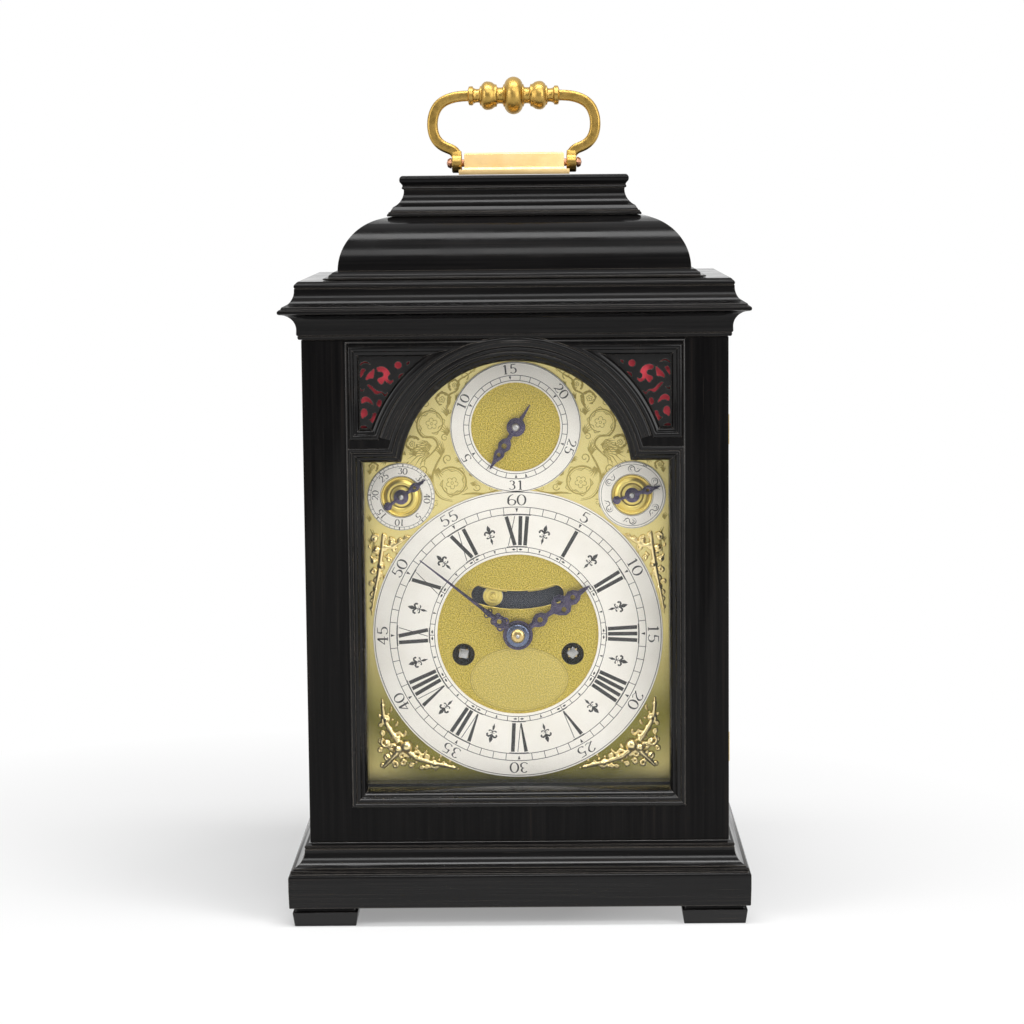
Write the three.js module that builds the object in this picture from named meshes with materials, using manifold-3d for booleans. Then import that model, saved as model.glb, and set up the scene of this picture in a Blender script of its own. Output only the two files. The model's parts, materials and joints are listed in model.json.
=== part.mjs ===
// A table clock with an arched dial in an ebonised case, about 1715 in style.
// Millimetres. +X is to the right, +Y to the back and +Z up, with the origin on
// the floor under the middle of the case. The dial faces -Y.
import * as THREE from 'three';
import { mergeVertices } from 'three/addons/utils/BufferGeometryUtils.js';
import Module from 'manifold-3d';

const wasm = await Module();
wasm.setup();

// ---------------------------------------------------------------- driving sizes
const GAP = 0.3;                 // left between pieces that touch
const caseHalfWidth = 120;
const caseHalfDepth = 80;
const widthMinusDepth = caseHalfWidth - caseHalfDepth;

const footHeight = 10.6;
const footSize = 37.5;
const footReach = 130.1;         // outer face of a foot, from the middle
const baseTop = 46.8;
const bodyTop = 335.1;
const corniceTop = 367.6;
const bellTopTop = 402.5;
const capTop = 425.9;

const doorFront = -caseHalfDepth;
const doorBack = -60;
const wallThickness = 12;
const innerHalfWidth = caseHalfWidth - wallThickness;
const backDoorFront = 68;

// The opening in the front door that shows the dial: a rectangle with an arch on top.
const sight = { halfWidth: 87, bottom: 75.2, shoulder: 265, archCentre: 256.2, archRadius: 65.6 };
// The corner openings beside the arch, filled with pierced frets.
const corner = { side: 88, top: 325, bottom: 284, archCentre: 255, archRadius: 86.6 };

const dialFront = -50;
const dialThickness = 2.2;
const ringThickness = 1.5;
const dialCentreZ = 162;
const chapterRing = { outer: 83, inner: 46.6 };
const dateRing = { x: 0, z: 282.3, outer: 36.8, inner: 24.9 };
const smallRing = { x: 66.4, z: 242.6, outer: 19.4, inner: 11.8 };
const windingHole = { x: 31.6, z: 150.2, radius: 6.5 };
const mockPivotZ = 240.1;
const mockRadius = 58.1;
const mockSlot = { halfHeight: 5.3, halfAngle: 27.7 };
const mockAngle = 14.3;          // degrees to the left of plumb, as stored

const minuteAngle = 308.4;       // clockwise from twelve
const hourAngle = 55.7;
const dateAngle = 212.4;
const regulationAngle = 54.8;
const strikeAngle = 72.2;

const plateHalfWidth = 66;
const plateBottom = 77;
const plateTop = 262;
const frontPlate = [-36, -33.2];
const backPlate = [28, 30.8];

const handlePivotZ = 433;
const handleTopZ = 471.9;

// ---------------------------------------------------------------- materials
const finish = (color, roughness, metalness) => ({ color, roughness, metalness });
const ebony = finish(0x15110f, 0.28, 0);
const plainWood = finish(0x3a2a20, 0.7, 0);
const clearGlass = finish(0xdfe8e8, 0.05, 0);
const silk = finish(0xb0202c, 0.8, 0);
const brass = finish(0xc9a548, 0.35, 1);
const mattedBrass = finish(0xb09a45, 0.6, 1);
const giltBrass = finish(0xd9b453, 0.3, 1);
const silvered = finish(0xe9e6dd, 0.45, 0.6);
const bluedSteel = finish(0x3d3a5c, 0.35, 1);
const steel = finish(0x9b9b98, 0.4, 1);
const copper = finish(0x9a5a3a, 0.4, 1);
const slate = finish(0x2e3138, 0.8, 0);
const bellMetal = finish(0xc2ab80, 0.35, 1);

// ---------------------------------------------------------------- solids
// Merges the shared vertices, drops flat triangles and turns the faces outwards.
function closed(geometry) {
  const bare = geometry.clone();
  bare.deleteAttribute('normal');
  bare.deleteAttribute('uv');
  const merged = mergeVertices(bare, 1e-4);
  const at = merged.attributes.position;
  const old = merged.index.array;
  const kept = [];
  const [a, b, c] = [new THREE.Vector3(), new THREE.Vector3(), new THREE.Vector3()];
  let volume = 0;
  for (let i = 0; i < old.length; i += 3) {
    const [p, q, r] = [old[i], old[i + 1], old[i + 2]];
    if (p === q || q === r || p === r) continue;
    kept.push(p, q, r);
    a.fromBufferAttribute(at, p);
    b.fromBufferAttribute(at, q);
    c.fromBufferAttribute(at, r);
    volume += a.dot(b.cross(c));
  }
  if (volume < 0) kept.reverse();
  merged.setIndex(kept);
  return merged;
}

function solid(geometry) {
  const { attributes, index } = closed(geometry);
  const vertProperties = new Float32Array(attributes.position.array);
  const triVerts = new Uint32Array(index.array);
  return new wasm.Manifold(new wasm.Mesh({ numProp: 3, vertProperties, triVerts }));
}

function surface(body) {
  const { vertProperties, triVerts } = body.getMesh();
  const geometry = new THREE.BufferGeometry();
  geometry.setAttribute('position', new THREE.BufferAttribute(vertProperties, 3));
  geometry.setIndex(new THREE.BufferAttribute(triVerts, 1));
  return geometry;
}

const join = (...pieces) => surface(pieces.map(solid).reduce((all, one) => all.add(one)));
const cut = (base, ...tools) => surface(tools.map(solid).reduce((left, tool) => left.subtract(tool), solid(base)));
const overlap = (one, other) => surface(solid(one).intersect(solid(other)));

function box([x0, x1], [y0, y1], [z0, z1]) {
  const geometry = new THREE.BoxGeometry(x1 - x0, y1 - y0, z1 - z0);
  return geometry.translate((x0 + x1) / 2, (y0 + y1) / 2, (z0 + z1) / 2);
}

// A flat piece in the XZ plane, from its front face backwards.
function facePlate(shape, front, thickness, curveSegments = 12) {
  const geometry = new THREE.ExtrudeGeometry(shape, { depth: thickness, bevelEnabled: false, curveSegments });
  return geometry.rotateX(Math.PI / 2).translate(0, front + thickness, 0);
}

// A flat piece in the YZ plane, from x onwards.
function sidePlate(shape, x, thickness, curveSegments = 12) {
  const geometry = new THREE.ExtrudeGeometry(shape, { depth: thickness, bevelEnabled: false, curveSegments });
  const turn = new THREE.Matrix4().makeBasis(
    new THREE.Vector3(0, 1, 0), new THREE.Vector3(0, 0, 1), new THREE.Vector3(1, 0, 0));
  return geometry.applyMatrix4(turn).translate(x, 0, 0);
}

// Turned pieces: each profile is a list of [radius, place along the axis].
const lathe = (profile, sides) =>
  new THREE.LatheGeometry(profile.map(([r, at]) => new THREE.Vector2(r, at)), sides);
const turnedY = (profile, x, z, sides = 16) => lathe(profile, sides).translate(x, 0, z);
const turnedX = (profile, y, z, sides = 16) => lathe(profile, sides).rotateZ(-Math.PI / 2).translate(0, y, z);
const turnedZ = (profile, x, y, sides = 16) => lathe(profile, sides).rotateX(Math.PI / 2).translate(x, y, 0);
const rodY = (radius, y0, y1, x, z, sides = 12) =>
  turnedY([[0, y0], [radius, y0], [radius, y1], [0, y1]], x, z, sides);
const rodX = (radius, x0, x1, y, z, sides = 12) =>
  turnedX([[0, x0], [radius, x0], [radius, x1], [0, x1]], y, z, sides);
const rodZ = (radius, z0, z1, x, y, sides = 12) =>
  turnedZ([[0, z0], [radius, z0], [radius, z1], [0, z1]], x, y, sides);

// Joins rings of points, all with the same count. A loop joins the last to the
// first; otherwise both ends are closed with a flat face.
function loft(rings, loop = false) {
  const count = rings[0].length;
  const index = [];
  const levels = loop ? rings.length : rings.length - 1;
  for (let level = 0; level < levels; level += 1) {
    const upper = ((level + 1) % rings.length) * count;
    for (let k = 0; k < count; k += 1) {
      const next = (k + 1) % count;
      const [a, b] = [level * count + k, level * count + next];
      index.push(a, b, upper + next, a, upper + next, upper + k);
    }
  }
  const capped = loop ? [] : [[0, -1], [rings.length - 1, 1]];
  for (const [level, side] of capped) {
    const ring = rings[level];
    const level2d = ring.every((point) => point[2] === ring[0][2]);
    const contour = ring.map(([x, y, z]) => new THREE.Vector2(x, level2d ? y : z));
    const wanted = Math.sign(THREE.ShapeUtils.area(contour)) * side;
    for (const face of THREE.ShapeUtils.triangulateShape(contour, [])) {
      const turned = Math.sign(THREE.ShapeUtils.area(face.map((k) => contour[k]))) === wanted;
      const corners = turned ? face : [...face].reverse();
      index.push(...corners.map((k) => level * count + k));
    }
  }
  const geometry = new THREE.BufferGeometry();
  geometry.setAttribute('position', new THREE.Float32BufferAttribute(rings.flat(2), 3));
  geometry.setIndex(index);
  return geometry;
}

// A mitred moulding that runs round the case: [half width, height] points.
const caseRing = (w, z) => {
  const d = w - widthMinusDepth;
  return [[-w, -d, z], [w, -d, z], [w, d, z], [-w, d, z]];
};
const mitred = (profile, loop = false) => loft(profile.map(([w, z]) => caseRing(w, z)), loop);

function arc([x, z], radius, from, to, steps) {
  return Array.from({ length: steps + 1 }, (_, i) => {
    const angle = THREE.MathUtils.degToRad(from + ((to - from) * i) / steps);
    return [x + radius * Math.cos(angle), z + radius * Math.sin(angle)];
  });
}

const mirrored = (geometry) => geometry.clone().scale(-1, 1, 1);

function discShape(radius, x = 0, z = 0) {
  const shape = new THREE.Shape();
  shape.absarc(x, z, radius, 0, Math.PI * 2);
  return shape;
}

// ---------------------------------------------------------------- group and nodes
const clock = new THREE.Group();

function node(name, geometry, { color, roughness, metalness }) {
  const shaded = closed(geometry);
  shaded.computeVertexNormals();
  const material = new THREE.MeshStandardMaterial({ color, roughness, metalness });
  const mesh = new THREE.Mesh(shaded, material);
  mesh.name = name;
  clock.add(mesh);
}

// ---------------------------------------------------------------- case
function feet() {
  const inner = footReach - footSize;
  const reachY = footReach - widthMinusDepth;
  const taper = 1.2;
  const neck = 2;
  const foot = (cx, cy) => {
    const half = footSize / 2;
    const square = (shrink, z) => [[-1, -1], [1, -1], [1, 1], [-1, 1]]
      .map(([sx, sy]) => [cx + sx * (half - shrink), cy + sy * (half - shrink), z]);
    return loft([square(taper, 0), square(0, 7), square(0, 8.2), square(neck, 8.4), square(neck, footHeight)]);
  };
  const x = (footReach + inner) / 2;
  const y = reachY - footSize / 2;
  for (const [end, sy] of [['front', -1], ['rear', 1]]) {
    node(`foot_${end}_left`, foot(-x, sy * y), ebony);
    node(`foot_${end}_right`, foot(x, sy * y), ebony);
  }
}

function baseMoulding() {
  const inner = 98;
  const bottom = footHeight + GAP;
  const ogee = [...arc([132.6, 42.6], 9.6, 250, 184, 4)];
  const profile = [
    [inner, bottom], [131.6, bottom], [132, 21], [131.8, 29.6], [130.6, 30.4], [130.6, 32.4], [128.8, 33.2],
    ...ogee, [122.8, 43.6], [122.8, 45], [121, baseTop], [inner, baseTop],
  ];
  node('base_moulding', mitred(profile, true), ebony);
  const board = inner - GAP;
  const boardY = board - widthMinusDepth;
  node('base_board', box([-board, board], [-boardY, boardY], [24, 36]), plainWood);
}

// Side window: a rectangle with a half-round head, [Y, Z] on the panel.
function sideWindow(grow) {
  const half = 38 + grow;
  const shape = new THREE.Shape();
  shape.moveTo(-half, 92 - grow);
  shape.lineTo(half, 92 - grow);
  shape.absarc(0, 246, half, 0, Math.PI);
  shape.closePath();
  return shape;
}

const frontHinge = { x: 120.4, y: -59.8, radius: 1.3, height: 17, places: [280.8, 97] };

function sidePanels() {
  const front = doorBack + 0.4;
  const panel = box([innerHalfWidth, caseHalfWidth], [front, caseHalfDepth], [baseTop + GAP, bodyTop - GAP]);
  const window = sidePlate(sideWindow(0), innerHalfWidth - 1, wallThickness + 2);
  const rebate = sidePlate(sideWindow(4), innerHalfWidth - 1, 5);
  const plain = cut(panel, window, rebate);
  const barrels = frontHinge.places.map((z) =>
    rodZ(1.7, z - frontHinge.height / 2 - GAP, z + frontHinge.height / 2 + GAP, frontHinge.x, frontHinge.y));
  const backBarrels = backHinge.places.map((z) =>
    rodZ(2.2, z - backHinge.height / 2 - GAP, z + backHinge.height / 2 + GAP, backHinge.x, backHinge.y));
  node('side_panel_right', cut(plain, ...barrels), ebony);
  node('side_panel_left', cut(mirrored(plain), ...backBarrels), ebony);
  const glass = sidePlate(sideWindow(4 - GAP), innerHalfWidth + 1.6, 2);
  node('side_glass_right', glass, clearGlass);
  node('side_glass_left', mirrored(glass), clearGlass);
}

function cornice() {
  const inner = 100;
  const bottom = bodyTop;
  const cavetto = arc([131.2, 340.6], 8.8, 180, 96, 5);
  const upperHollow = arc([133, 362.6], 9.8, 230, 182, 4);
  const profile = [
    [inner, bottom], [121.4, bottom], [121.8, 337], [122.5, 338.6],
    ...cavetto, [132.2, 350], [132, 351.6], [130, 353.8],
    ...upperHollow, [123.2, 365.2], [121.4, corniceTop], [inner, corniceTop],
  ];
  node('cornice', mitred(profile, true), ebony);
}

function bellTop() {
  const start = corniceTop + GAP;
  const dome = arc([70.6, 372.6], 29.6, 0, 86, 9);
  const outer = [
    [108.1, start], [108.1, 368.7], [105.4, 368.9], [105.2, 370.2], [103.4, 371.8],
    [101.2, 372.4], ...dome, [71, bellTopTop],
  ];
  const inner = [[92, start - 1], [92, 373], [88, 384], [78, 392.5], [66, 395]];
  node('bell_top', cut(mitred(outer), mitred(inner)), ebony);
}

function caddyCap() {
  const bottom = bellTopTop + GAP;
  const cove = arc([73.9, 417.4], 10.2, 246, 180, 5);
  const profile = [
    [73, bottom], [73, 404.3], [72, 405.4], ...cove, [64.6, 418.4], [64.6, 420], [65.2, 421.4],
    [66, 423], [66, 424.8], [64.6, capTop],
  ];
  node('caddy_cap', mitred(profile), ebony);
}

// ---------------------------------------------------------------- handle
function handlePlate() {
  const start = capTop + GAP;
  const flangeTop = start + 3;
  const blockTop = 438.9;
  const flange = box([-32.2, 32.2], [-11, 11], [start, flangeTop]);
  const earRoom = [1, -1].map((side) => {
    const ends = side > 0 ? [30.2, 40] : [-40, -30.2];
    return box(ends, [-7.4, 7.4], [start - 1, flangeTop + 1]);
  });
  const rectangle = (x, y, z) => [[-x, -y, z], [x, -y, z], [x, y, z], [-x, y, z]];
  const block = loft([
    rectangle(29.6, 7.4, flangeTop - 0.2), rectangle(29.1, 6.4, flangeTop + 1.2),
    rectangle(29.1, 6.4, blockTop - 0.8), rectangle(28.3, 5.6, blockTop),
  ]);
  const pinHoles = [1, -1].map((side) => rodX(2.5, side * 26.5, side * 31, 0, handlePivotZ));
  node('handle_plate', cut(join(cut(flange, ...earRoom), block), ...pinHoles), giltBrass);
}

function handlePins() {
  const pin = turnedX([
    [0, 27], [2.2, 27], [2.2, 36.6], [3, 36.6], [3, 37.6], [2.2, 38.9], [0, 39.5],
  ], 0, handlePivotZ, 12);
  node('handle_pin_right', pin, copper);
  node('handle_pin_left', mirrored(pin), copper);
}

function handleBail() {
  const half = [[0, handleTopZ], [16, handleTopZ], [31, handleTopZ], [41, 469], [46.4, 462.4],
    [47.6, 454.6], [46.2, 448], [42.6, 443.7], [38.4, 441.6], [35, 439.8], [33.6, 437.4]];
  const left = half.slice(1).reverse().map(([x, z]) => [-x, z]);
  const route = [...left, ...half].map(([x, z]) => new THREE.Vector3(x, 0, z));
  const section = discShape(3.3);
  const arms = new THREE.ExtrudeGeometry(section, {
    steps: 32, curveSegments: 4, bevelEnabled: false, extrudePath: new THREE.CatmullRomCurve3(route),
  });
  const turning = [[10.9, 0], [10.2, 2.8], [7.6, 5], [4.8, 6.4], [4.8, 9.6], [6.8, 11.8],
    [8.1, 14.4], [8.1, 16.6], [5.6, 19.2], [3.8, 20.6], [5.4, 24.4], [5.4, 26], [3, 26.6]];
  const otherHalf = turning.slice(1).reverse().map(([r, x]) => [r, -x]);
  const baluster = turnedX([[0, -26.6], ...otherHalf, ...turning, [0, 26.6]], 0, handleTopZ, 12);
  const ears = [1, -1].map((side) => {
    const [inner, outer] = [30.6, 36.3].map((x) => side * x);
    const eye = rodX(5.7, inner, outer, 0, handlePivotZ, 16);
    return join(eye, box([Math.min(inner, outer), Math.max(inner, outer)], [-4, 4], [handlePivotZ, 438.9]));
  });
  const holes = [1, -1].map((side) => rodX(2.5, side * 30, side * 37, 0, handlePivotZ));
  node('handle_bail', cut(join(arms, baluster, ...ears), ...holes), giltBrass);
}

// ---------------------------------------------------------------- front door
// The arched opening grown outwards, as [x, z] points.
function archedOutline(opening, grow, steps = 20) {
  const radius = opening.archRadius + grow;
  const shoulder = opening.shoulder + grow;
  const side = opening.halfWidth + grow;
  const bottom = opening.bottom - grow;
  const spring = THREE.MathUtils.radToDeg(Math.asin((shoulder - opening.archCentre) / radius));
  const head = arc([0, opening.archCentre], radius, spring, 180 - spring, steps);
  return [[-side, bottom], [side, bottom], [side, shoulder], ...head, [-side, shoulder]];
}

// The left corner opening grown outwards, as [x, z] points.
function cornerOutline(grow, steps = 8) {
  const { side, top, bottom, archCentre } = corner;
  const radius = corner.archRadius - grow;
  const angleAt = (z) => 180 - THREE.MathUtils.radToDeg(Math.asin((z - archCentre) / radius));
  const curve = arc([0, archCentre], radius, angleAt(bottom - grow), angleAt(top + grow), steps);
  return [[-side - grow, bottom - grow], ...curve, [-side - grow, top + grow]];
}

const rectangleOutline = (x, bottom, top) => [[-x, bottom], [x, bottom], [x, top], [-x, top]];
const atDepth = (outline, y) => outline.map(([x, z]) => [x, y, z]);
const shapeOf = (outline) => new THREE.Shape(outline.map(([x, z]) => new THREE.Vector2(x, z)));

// Raised bead round an outline: outline(grow) gives the points.
function bead(outline, from, to, crest) {
  const middle = (from + to) / 2;
  const sunk = doorFront + 0.6;
  return loft([
    atDepth(outline(from), sunk), atDepth(outline(from), doorFront - crest * 0.55),
    atDepth(outline(middle), doorFront - crest), atDepth(outline(to), doorFront - crest * 0.55),
    atDepth(outline(to), sunk),
  ], true);
}

function frontDoorFrame() {
  const slab = box([-caseHalfWidth, caseHalfWidth], [doorFront, doorBack], [baseTop + GAP, bodyTop - GAP]);
  const beyond = doorFront - 3;
  const sightSteps = [[7, beyond], [7, -79.4], [4.8, -79.2], [2.9, -78.3], [1.7, -76.6], [1.4, -75.2],
    [0, -75.2], [0, doorBack + 1]];
  const opening = loft(sightSteps.map(([grow, y]) => atDepth(archedOutline(sight, grow), y)));
  const glassRebate = facePlate(shapeOf(archedOutline(sight, 3.3)), -68.3, 10);
  const cornerSteps = [[3.6, beyond], [3.6, -79.2], [1.8, -78.6], [0.8, -77.4], [0, -77.4], [0, -75]];
  const cornerHole = join(
    loft(cornerSteps.map(([grow, y]) => atDepth(cornerOutline(grow), y))),
    facePlate(shapeOf(cornerOutline(1.5)), -75.5, 17));
  const hingeRoom = frontHinge.places.map((z) => {
    const span = [z - frontHinge.height / 2 - GAP, z + frontHinge.height / 2 + GAP];
    const leaf = box([109.7, 125], [doorBack - 1.4, doorBack + 1], span);
    return join(leaf, rodZ(1.7, span[0], span[1], frontHinge.x, frontHinge.y));
  });
  const carved = cut(slab, opening, glassRebate, cornerHole, mirrored(cornerHole), ...hingeRoom);
  const rim = (grow) => rectangleOutline(94.2 + grow, 68.9 - grow, 332.4 + grow);
  const sightBead = bead((grow) => archedOutline(sight, grow), 7.2, 8.4, 0.7);
  const cornerBead = bead((grow) => cornerOutline(grow), 4, 5.4, 0.8);
  const archFillet = bead((grow) => archedOutline(sight, grow), 12.6, 13.6, 0.6);
  const archOnly = box([-90, 90], [doorFront - 3, doorBack], [279.4, 331]);
  const frame = join(carved, bead(rim, 0, 1.6, 1.1), sightBead, cornerBead, mirrored(cornerBead),
    overlap(archFillet, archOnly));
  node('front_door_frame', frame, ebony);
  node('front_door_glass', facePlate(shapeOf(archedOutline(sight, 3)), -68, 2), clearGlass);
}

// A crescent with pointed ends: it is widest half way along its arc.
function crescent([x, z, radius, width, start, sweep]) {
  const steps = Math.max(4, Math.round(sweep / 36));
  const outer = arc([x, z], radius, start, start + sweep, steps);
  const inner = outer.slice(1, -1).map(([px, pz], i) => {
    const left = 1 - (width * Math.sin((Math.PI * (i + 1)) / steps)) / radius;
    return [x + (px - x) * left, z + (pz - z) * left];
  });
  return shapeOf([...outer, ...inner.reverse()]);
}

// A pierced fret of scrolls with crimson silk behind it, for each corner.
function cornerFrets() {
  const front = -75.2;
  const thickness = 2.4;
  const scrolls = [
    [-77.2, 313.8, 8.2, 4.2, 45, 245], [-75.9, 313.6, 3.6, 3.2, -130, 250], [-65.8, 318, 4, 3.2, 55, 225],
    [-80.8, 301, 5.2, 3.6, 90, 230], [-83.3, 291, 2.9, 2.5, 70, 230],
  ];
  const rounds = [
    [-71.2, 309.6, 1.4], [-60.2, 322, 1.1], [-84.9, 322, 1.4], [-71, 322.4, 1], [-79.6, 301.2, 1.4],
  ];
  const holes = [
    ...scrolls.map((scroll) => facePlate(crescent(scroll), front - 1, thickness + 2)),
    ...rounds.map(([x, z, radius]) => rodY(radius, front - 1, front + thickness + 1, x, z, 7)),
  ];
  const fret = cut(facePlate(shapeOf(cornerOutline(1.2)), front, thickness), ...holes);
  node('fret_left', fret, ebony);
  node('fret_right', mirrored(fret), ebony);
  const cloth = facePlate(shapeOf(cornerOutline(1.2)), front + thickness + 0.4, 0.8);
  node('silk_left', cloth, silk);
  node('silk_right', mirrored(cloth), silk);
}

// The biggest connected body of a solid.
function largest(geometry) {
  const bodies = solid(geometry).decompose();
  return surface(bodies.reduce((best, one) => (one.volume() > best.volume() ? one : best)));
}

function frontHinges() {
  for (const [name, z] of [['upper', frontHinge.places[0]], ['lower', frontHinge.places[1]]]) {
    const half = frontHinge.height / 2;
    const r = frontHinge.radius;
    const profile = [[0, z - half], [r, z - half], [r, z - 5], [r - 0.3, z - 4.9], [r, z - 4.8],
      [r, z + 4.8], [r - 0.3, z + 4.9], [r, z + 5], [r, z + half], [0, z + half]];
    const barrel = turnedZ(profile, frontHinge.x, frontHinge.y, 12);
    const leaf = box([110, 120.2], [doorBack - 1.1, doorBack + 0.05], [z - half, z + half]);
    node(`front_hinge_${name}`, join(barrel, leaf), brass);
  }
}

// ---------------------------------------------------------------- back door
const backHinge = { x: -107.8, y: 81, radius: 1.8, height: 26, places: [282, 100] };

function backDoor() {
  const edge = innerHalfWidth - 0.4;
  const slab = box([-edge, edge], [backDoorFront, caseHalfDepth], [baseTop + 0.5, bodyTop - 0.5]);
  const window = { halfWidth: 76, bottom: 82, shoulder: 250, archCentre: 236, archRadius: 62 };
  const opening = facePlate(shapeOf(archedOutline(window, 0, 16)), backDoorFront - 1, 15);
  const rebate = facePlate(shapeOf(archedOutline(window, 4, 16)), backDoorFront - 1, 5);
  const hinges = backHinge.places.map((z) => {
    const half = backHinge.height / 2;
    return rodZ(2.2, z - half - GAP, z + half + GAP, backHinge.x, backHinge.y);
  });
  node('back_door_frame', cut(slab, opening, rebate, ...hinges), ebony);
  const pane = facePlate(shapeOf(archedOutline(window, 4 - GAP, 16)), backDoorFront + 1.6, 2);
  node('back_door_glass', pane, clearGlass);
  for (const [name, z] of [['upper', backHinge.places[0]], ['lower', backHinge.places[1]]]) {
    const half = backHinge.height / 2;
    const barrel = rodZ(backHinge.radius, z - half, z + half, backHinge.x, backHinge.y);
    const leaf = box([backHinge.x, -94], [caseHalfDepth + GAP, caseHalfDepth + 1.4], [z - half, z + half]);
    node(`back_hinge_${name}`, join(barrel, leaf), brass);
  }
}

// ---------------------------------------------------------------- dial
const dialOutline = { halfWidth: 89, bottom: 74.6, shoulder: 266, archCentre: 254.6, archRadius: 68.6 };
const maskOutline = { halfWidth: 87.1, bottom: 76.4, shoulder: 265, archCentre: 255.6, archRadius: 67 };

function dialMask() {
  const edge = innerHalfWidth - 0.4;
  const front = doorBack + 0.4;
  const board = facePlate(shapeOf(rectangleOutline(edge, baseTop + 0.5, bodyTop - 0.5)), front, dialFront - GAP - front);
  const opening = facePlate(shapeOf(archedOutline(maskOutline, 0)), front - 1, 12);
  node('dial_mask', cut(board, opening), ebony);
}

// The curved slot through which the mock pendulum shows.
function slotOutline(grow = 0) {
  const half = mockSlot.halfAngle + grow;
  const low = arc([0, mockPivotZ], mockRadius + mockSlot.halfHeight + grow, 270 - half, 270 + half, 12);
  const high = arc([0, mockPivotZ], mockRadius - mockSlot.halfHeight - grow, 270 + half, 270 - half, 12);
  return [...low, ...high];
}

function dialPlate() {
  const sheet = facePlate(shapeOf(archedOutline(dialOutline, 0)), dialFront, dialThickness);
  const through = (radius, x, z, sides) => rodY(radius, dialFront - 1, dialFront + 5, x, z, sides);
  const holes = [
    through(5.2, 0, dialCentreZ, 16),
    through(windingHole.radius, windingHole.x, windingHole.z, 16),
    through(windingHole.radius, -windingHole.x, windingHole.z, 16),
    through(1.8, dateRing.x, dateRing.z),
    through(1.8, smallRing.x, smallRing.z),
    through(1.8, -smallRing.x, smallRing.z),
    facePlate(shapeOf(slotOutline()), dialFront - 1, 5),
  ];
  const back = dialFront + dialThickness;
  const feet = [[-58, 96], [58, 96], [-50, 252], [50, 252]]
    .map(([x, z]) => rodY(3, back - 0.5, frontPlate[0] - GAP, x, z, 10));
  node('dial_plate', join(cut(sheet, ...holes), ...feet), mattedBrass);
  const backing = facePlate(shapeOf(rectangleOutline(36, 170, 206)), -44.6, 1.2);
  const posts = [-30, 30].map((x) => rodY(1.5, -44, frontPlate[0] - GAP, x, 200, 8));
  node('aperture_backing', join(backing, ...posts), slate);
}

function ring(name, { outer, inner }, x, z, segments) {
  const shape = discShape(outer, x, z);
  shape.holes.push(discShape(inner, x, z));
  node(name, facePlate(shape, dialFront - GAP - ringThickness, ringThickness, segments), silvered);
}

function dialRings() {
  ring('chapter_ring', chapterRing, 0, dialCentreZ, 28);
  ring('date_ring', dateRing, dateRing.x, dateRing.z, 20);
  ring('regulation_ring', smallRing, -smallRing.x, smallRing.z, 14);
  ring('strike_ring', smallRing, smallRing.x, smallRing.z, 14);
}

// Cast leafwork: a curved stem whose width swells into lobes, from [x, z] points.
function leafwork(points, narrow, wide, lobes, fattest) {
  const curve = new THREE.CatmullRomCurve3(points.map(([x, z]) => new THREE.Vector3(x, 0, z)));
  const steps = lobes * 4;
  const sides = [[], []];
  for (let i = 0; i <= steps; i += 1) {
    const t = i / steps;
    const at = curve.getPoint(t);
    const along = curve.getTangent(t);
    const swell = Math.max(0, 1 - Math.abs(t - fattest) * 1.7);
    const ripple = 0.72 + 0.28 * Math.abs(Math.sin(t * lobes * Math.PI));
    const half = (narrow + (wide - narrow) * swell) * ripple;
    sides[0].push([at.x - along.z * half, at.z + along.x * half]);
    sides[1].unshift([at.x + along.z * half, at.z - along.x * half]);
  }
  return facePlate(shapeOf([...sides[0], ...sides[1]]), dialFront - GAP - 2.6, 2.6);
}

function spandrels() {
  const insidePlate = box([-86.4, 86.4], [-60, -40], [77, 340]);
  const clearOfRings = [
    rodY(chapterRing.outer + 0.5, -60, -40, 0, dialCentreZ, 72),
    rodY(smallRing.outer + 0.5, -60, -40, -smallRing.x, smallRing.z, 32),
  ];
  const fitted = (leaves) => largest(overlap(cut(leaves, ...clearOfRings), insidePlate));
  const boss = turnedY([[0, -54.6], [3, -54.2], [5.2, -52.8], [5.6, dialFront - GAP], [0, dialFront - GAP]],
    -71.5, 92, 12);
  const lower = fitted(join(leafwork([[-81.5, 124], [-82, 106], [-75, 90], [-58, 80.5], [-36, 80.2]],
    2, 8.4, 9, 0.5), boss));
  const upper = fitted(leafwork([[-85.4, 160], [-83.5, 180], [-79.5, 200], [-79.5, 222]], 1.4, 7.6, 7, 0.76));
  node('spandrel_lower_left', lower, giltBrass);
  node('spandrel_lower_right', mirrored(lower), giltBrass);
  node('spandrel_upper_left', upper, giltBrass);
  node('spandrel_upper_right', mirrored(upper), giltBrass);
}

// ---------------------------------------------------------------- hands
// A flat hand that points up before it is turned: arm and tail are lists of
// [distance from the centre, half width], and holes of [distance, offset, radius].
function flatHand({ arm, tail = [], holes = [], hub, bore, ball = null }, front, thickness) {
  const strip = (points, sign) => {
    const right = points.map(([r, w]) => [w, sign * r]);
    const left = [...points].reverse().map(([r, w]) => [-w, sign * r]);
    return facePlate(shapeOf([...right, ...left]), front, thickness);
  };
  const parts = [facePlate(discShape(hub), front, thickness, 10), strip(arm, 1)];
  if (tail.length) parts.push(strip(tail, -1));
  if (ball) parts.push(facePlate(discShape(ball[1], 0, -ball[0]), front, thickness, 6));
  const pierced = holes.map(([r, offset, radius]) => rodY(radius, front - 1, front + thickness + 1, offset, r, 8));
  if (bore) pierced.push(rodY(bore, front - 1, front + thickness + 1, 0, 0, 16));
  const plate = join(...parts);
  return pierced.length ? cut(plate, ...pierced) : plate;
}

const placed = (geometry, clockAngle, x, z) =>
  geometry.rotateY(THREE.MathUtils.degToRad(clockAngle)).translate(x, 0, z);

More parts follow.
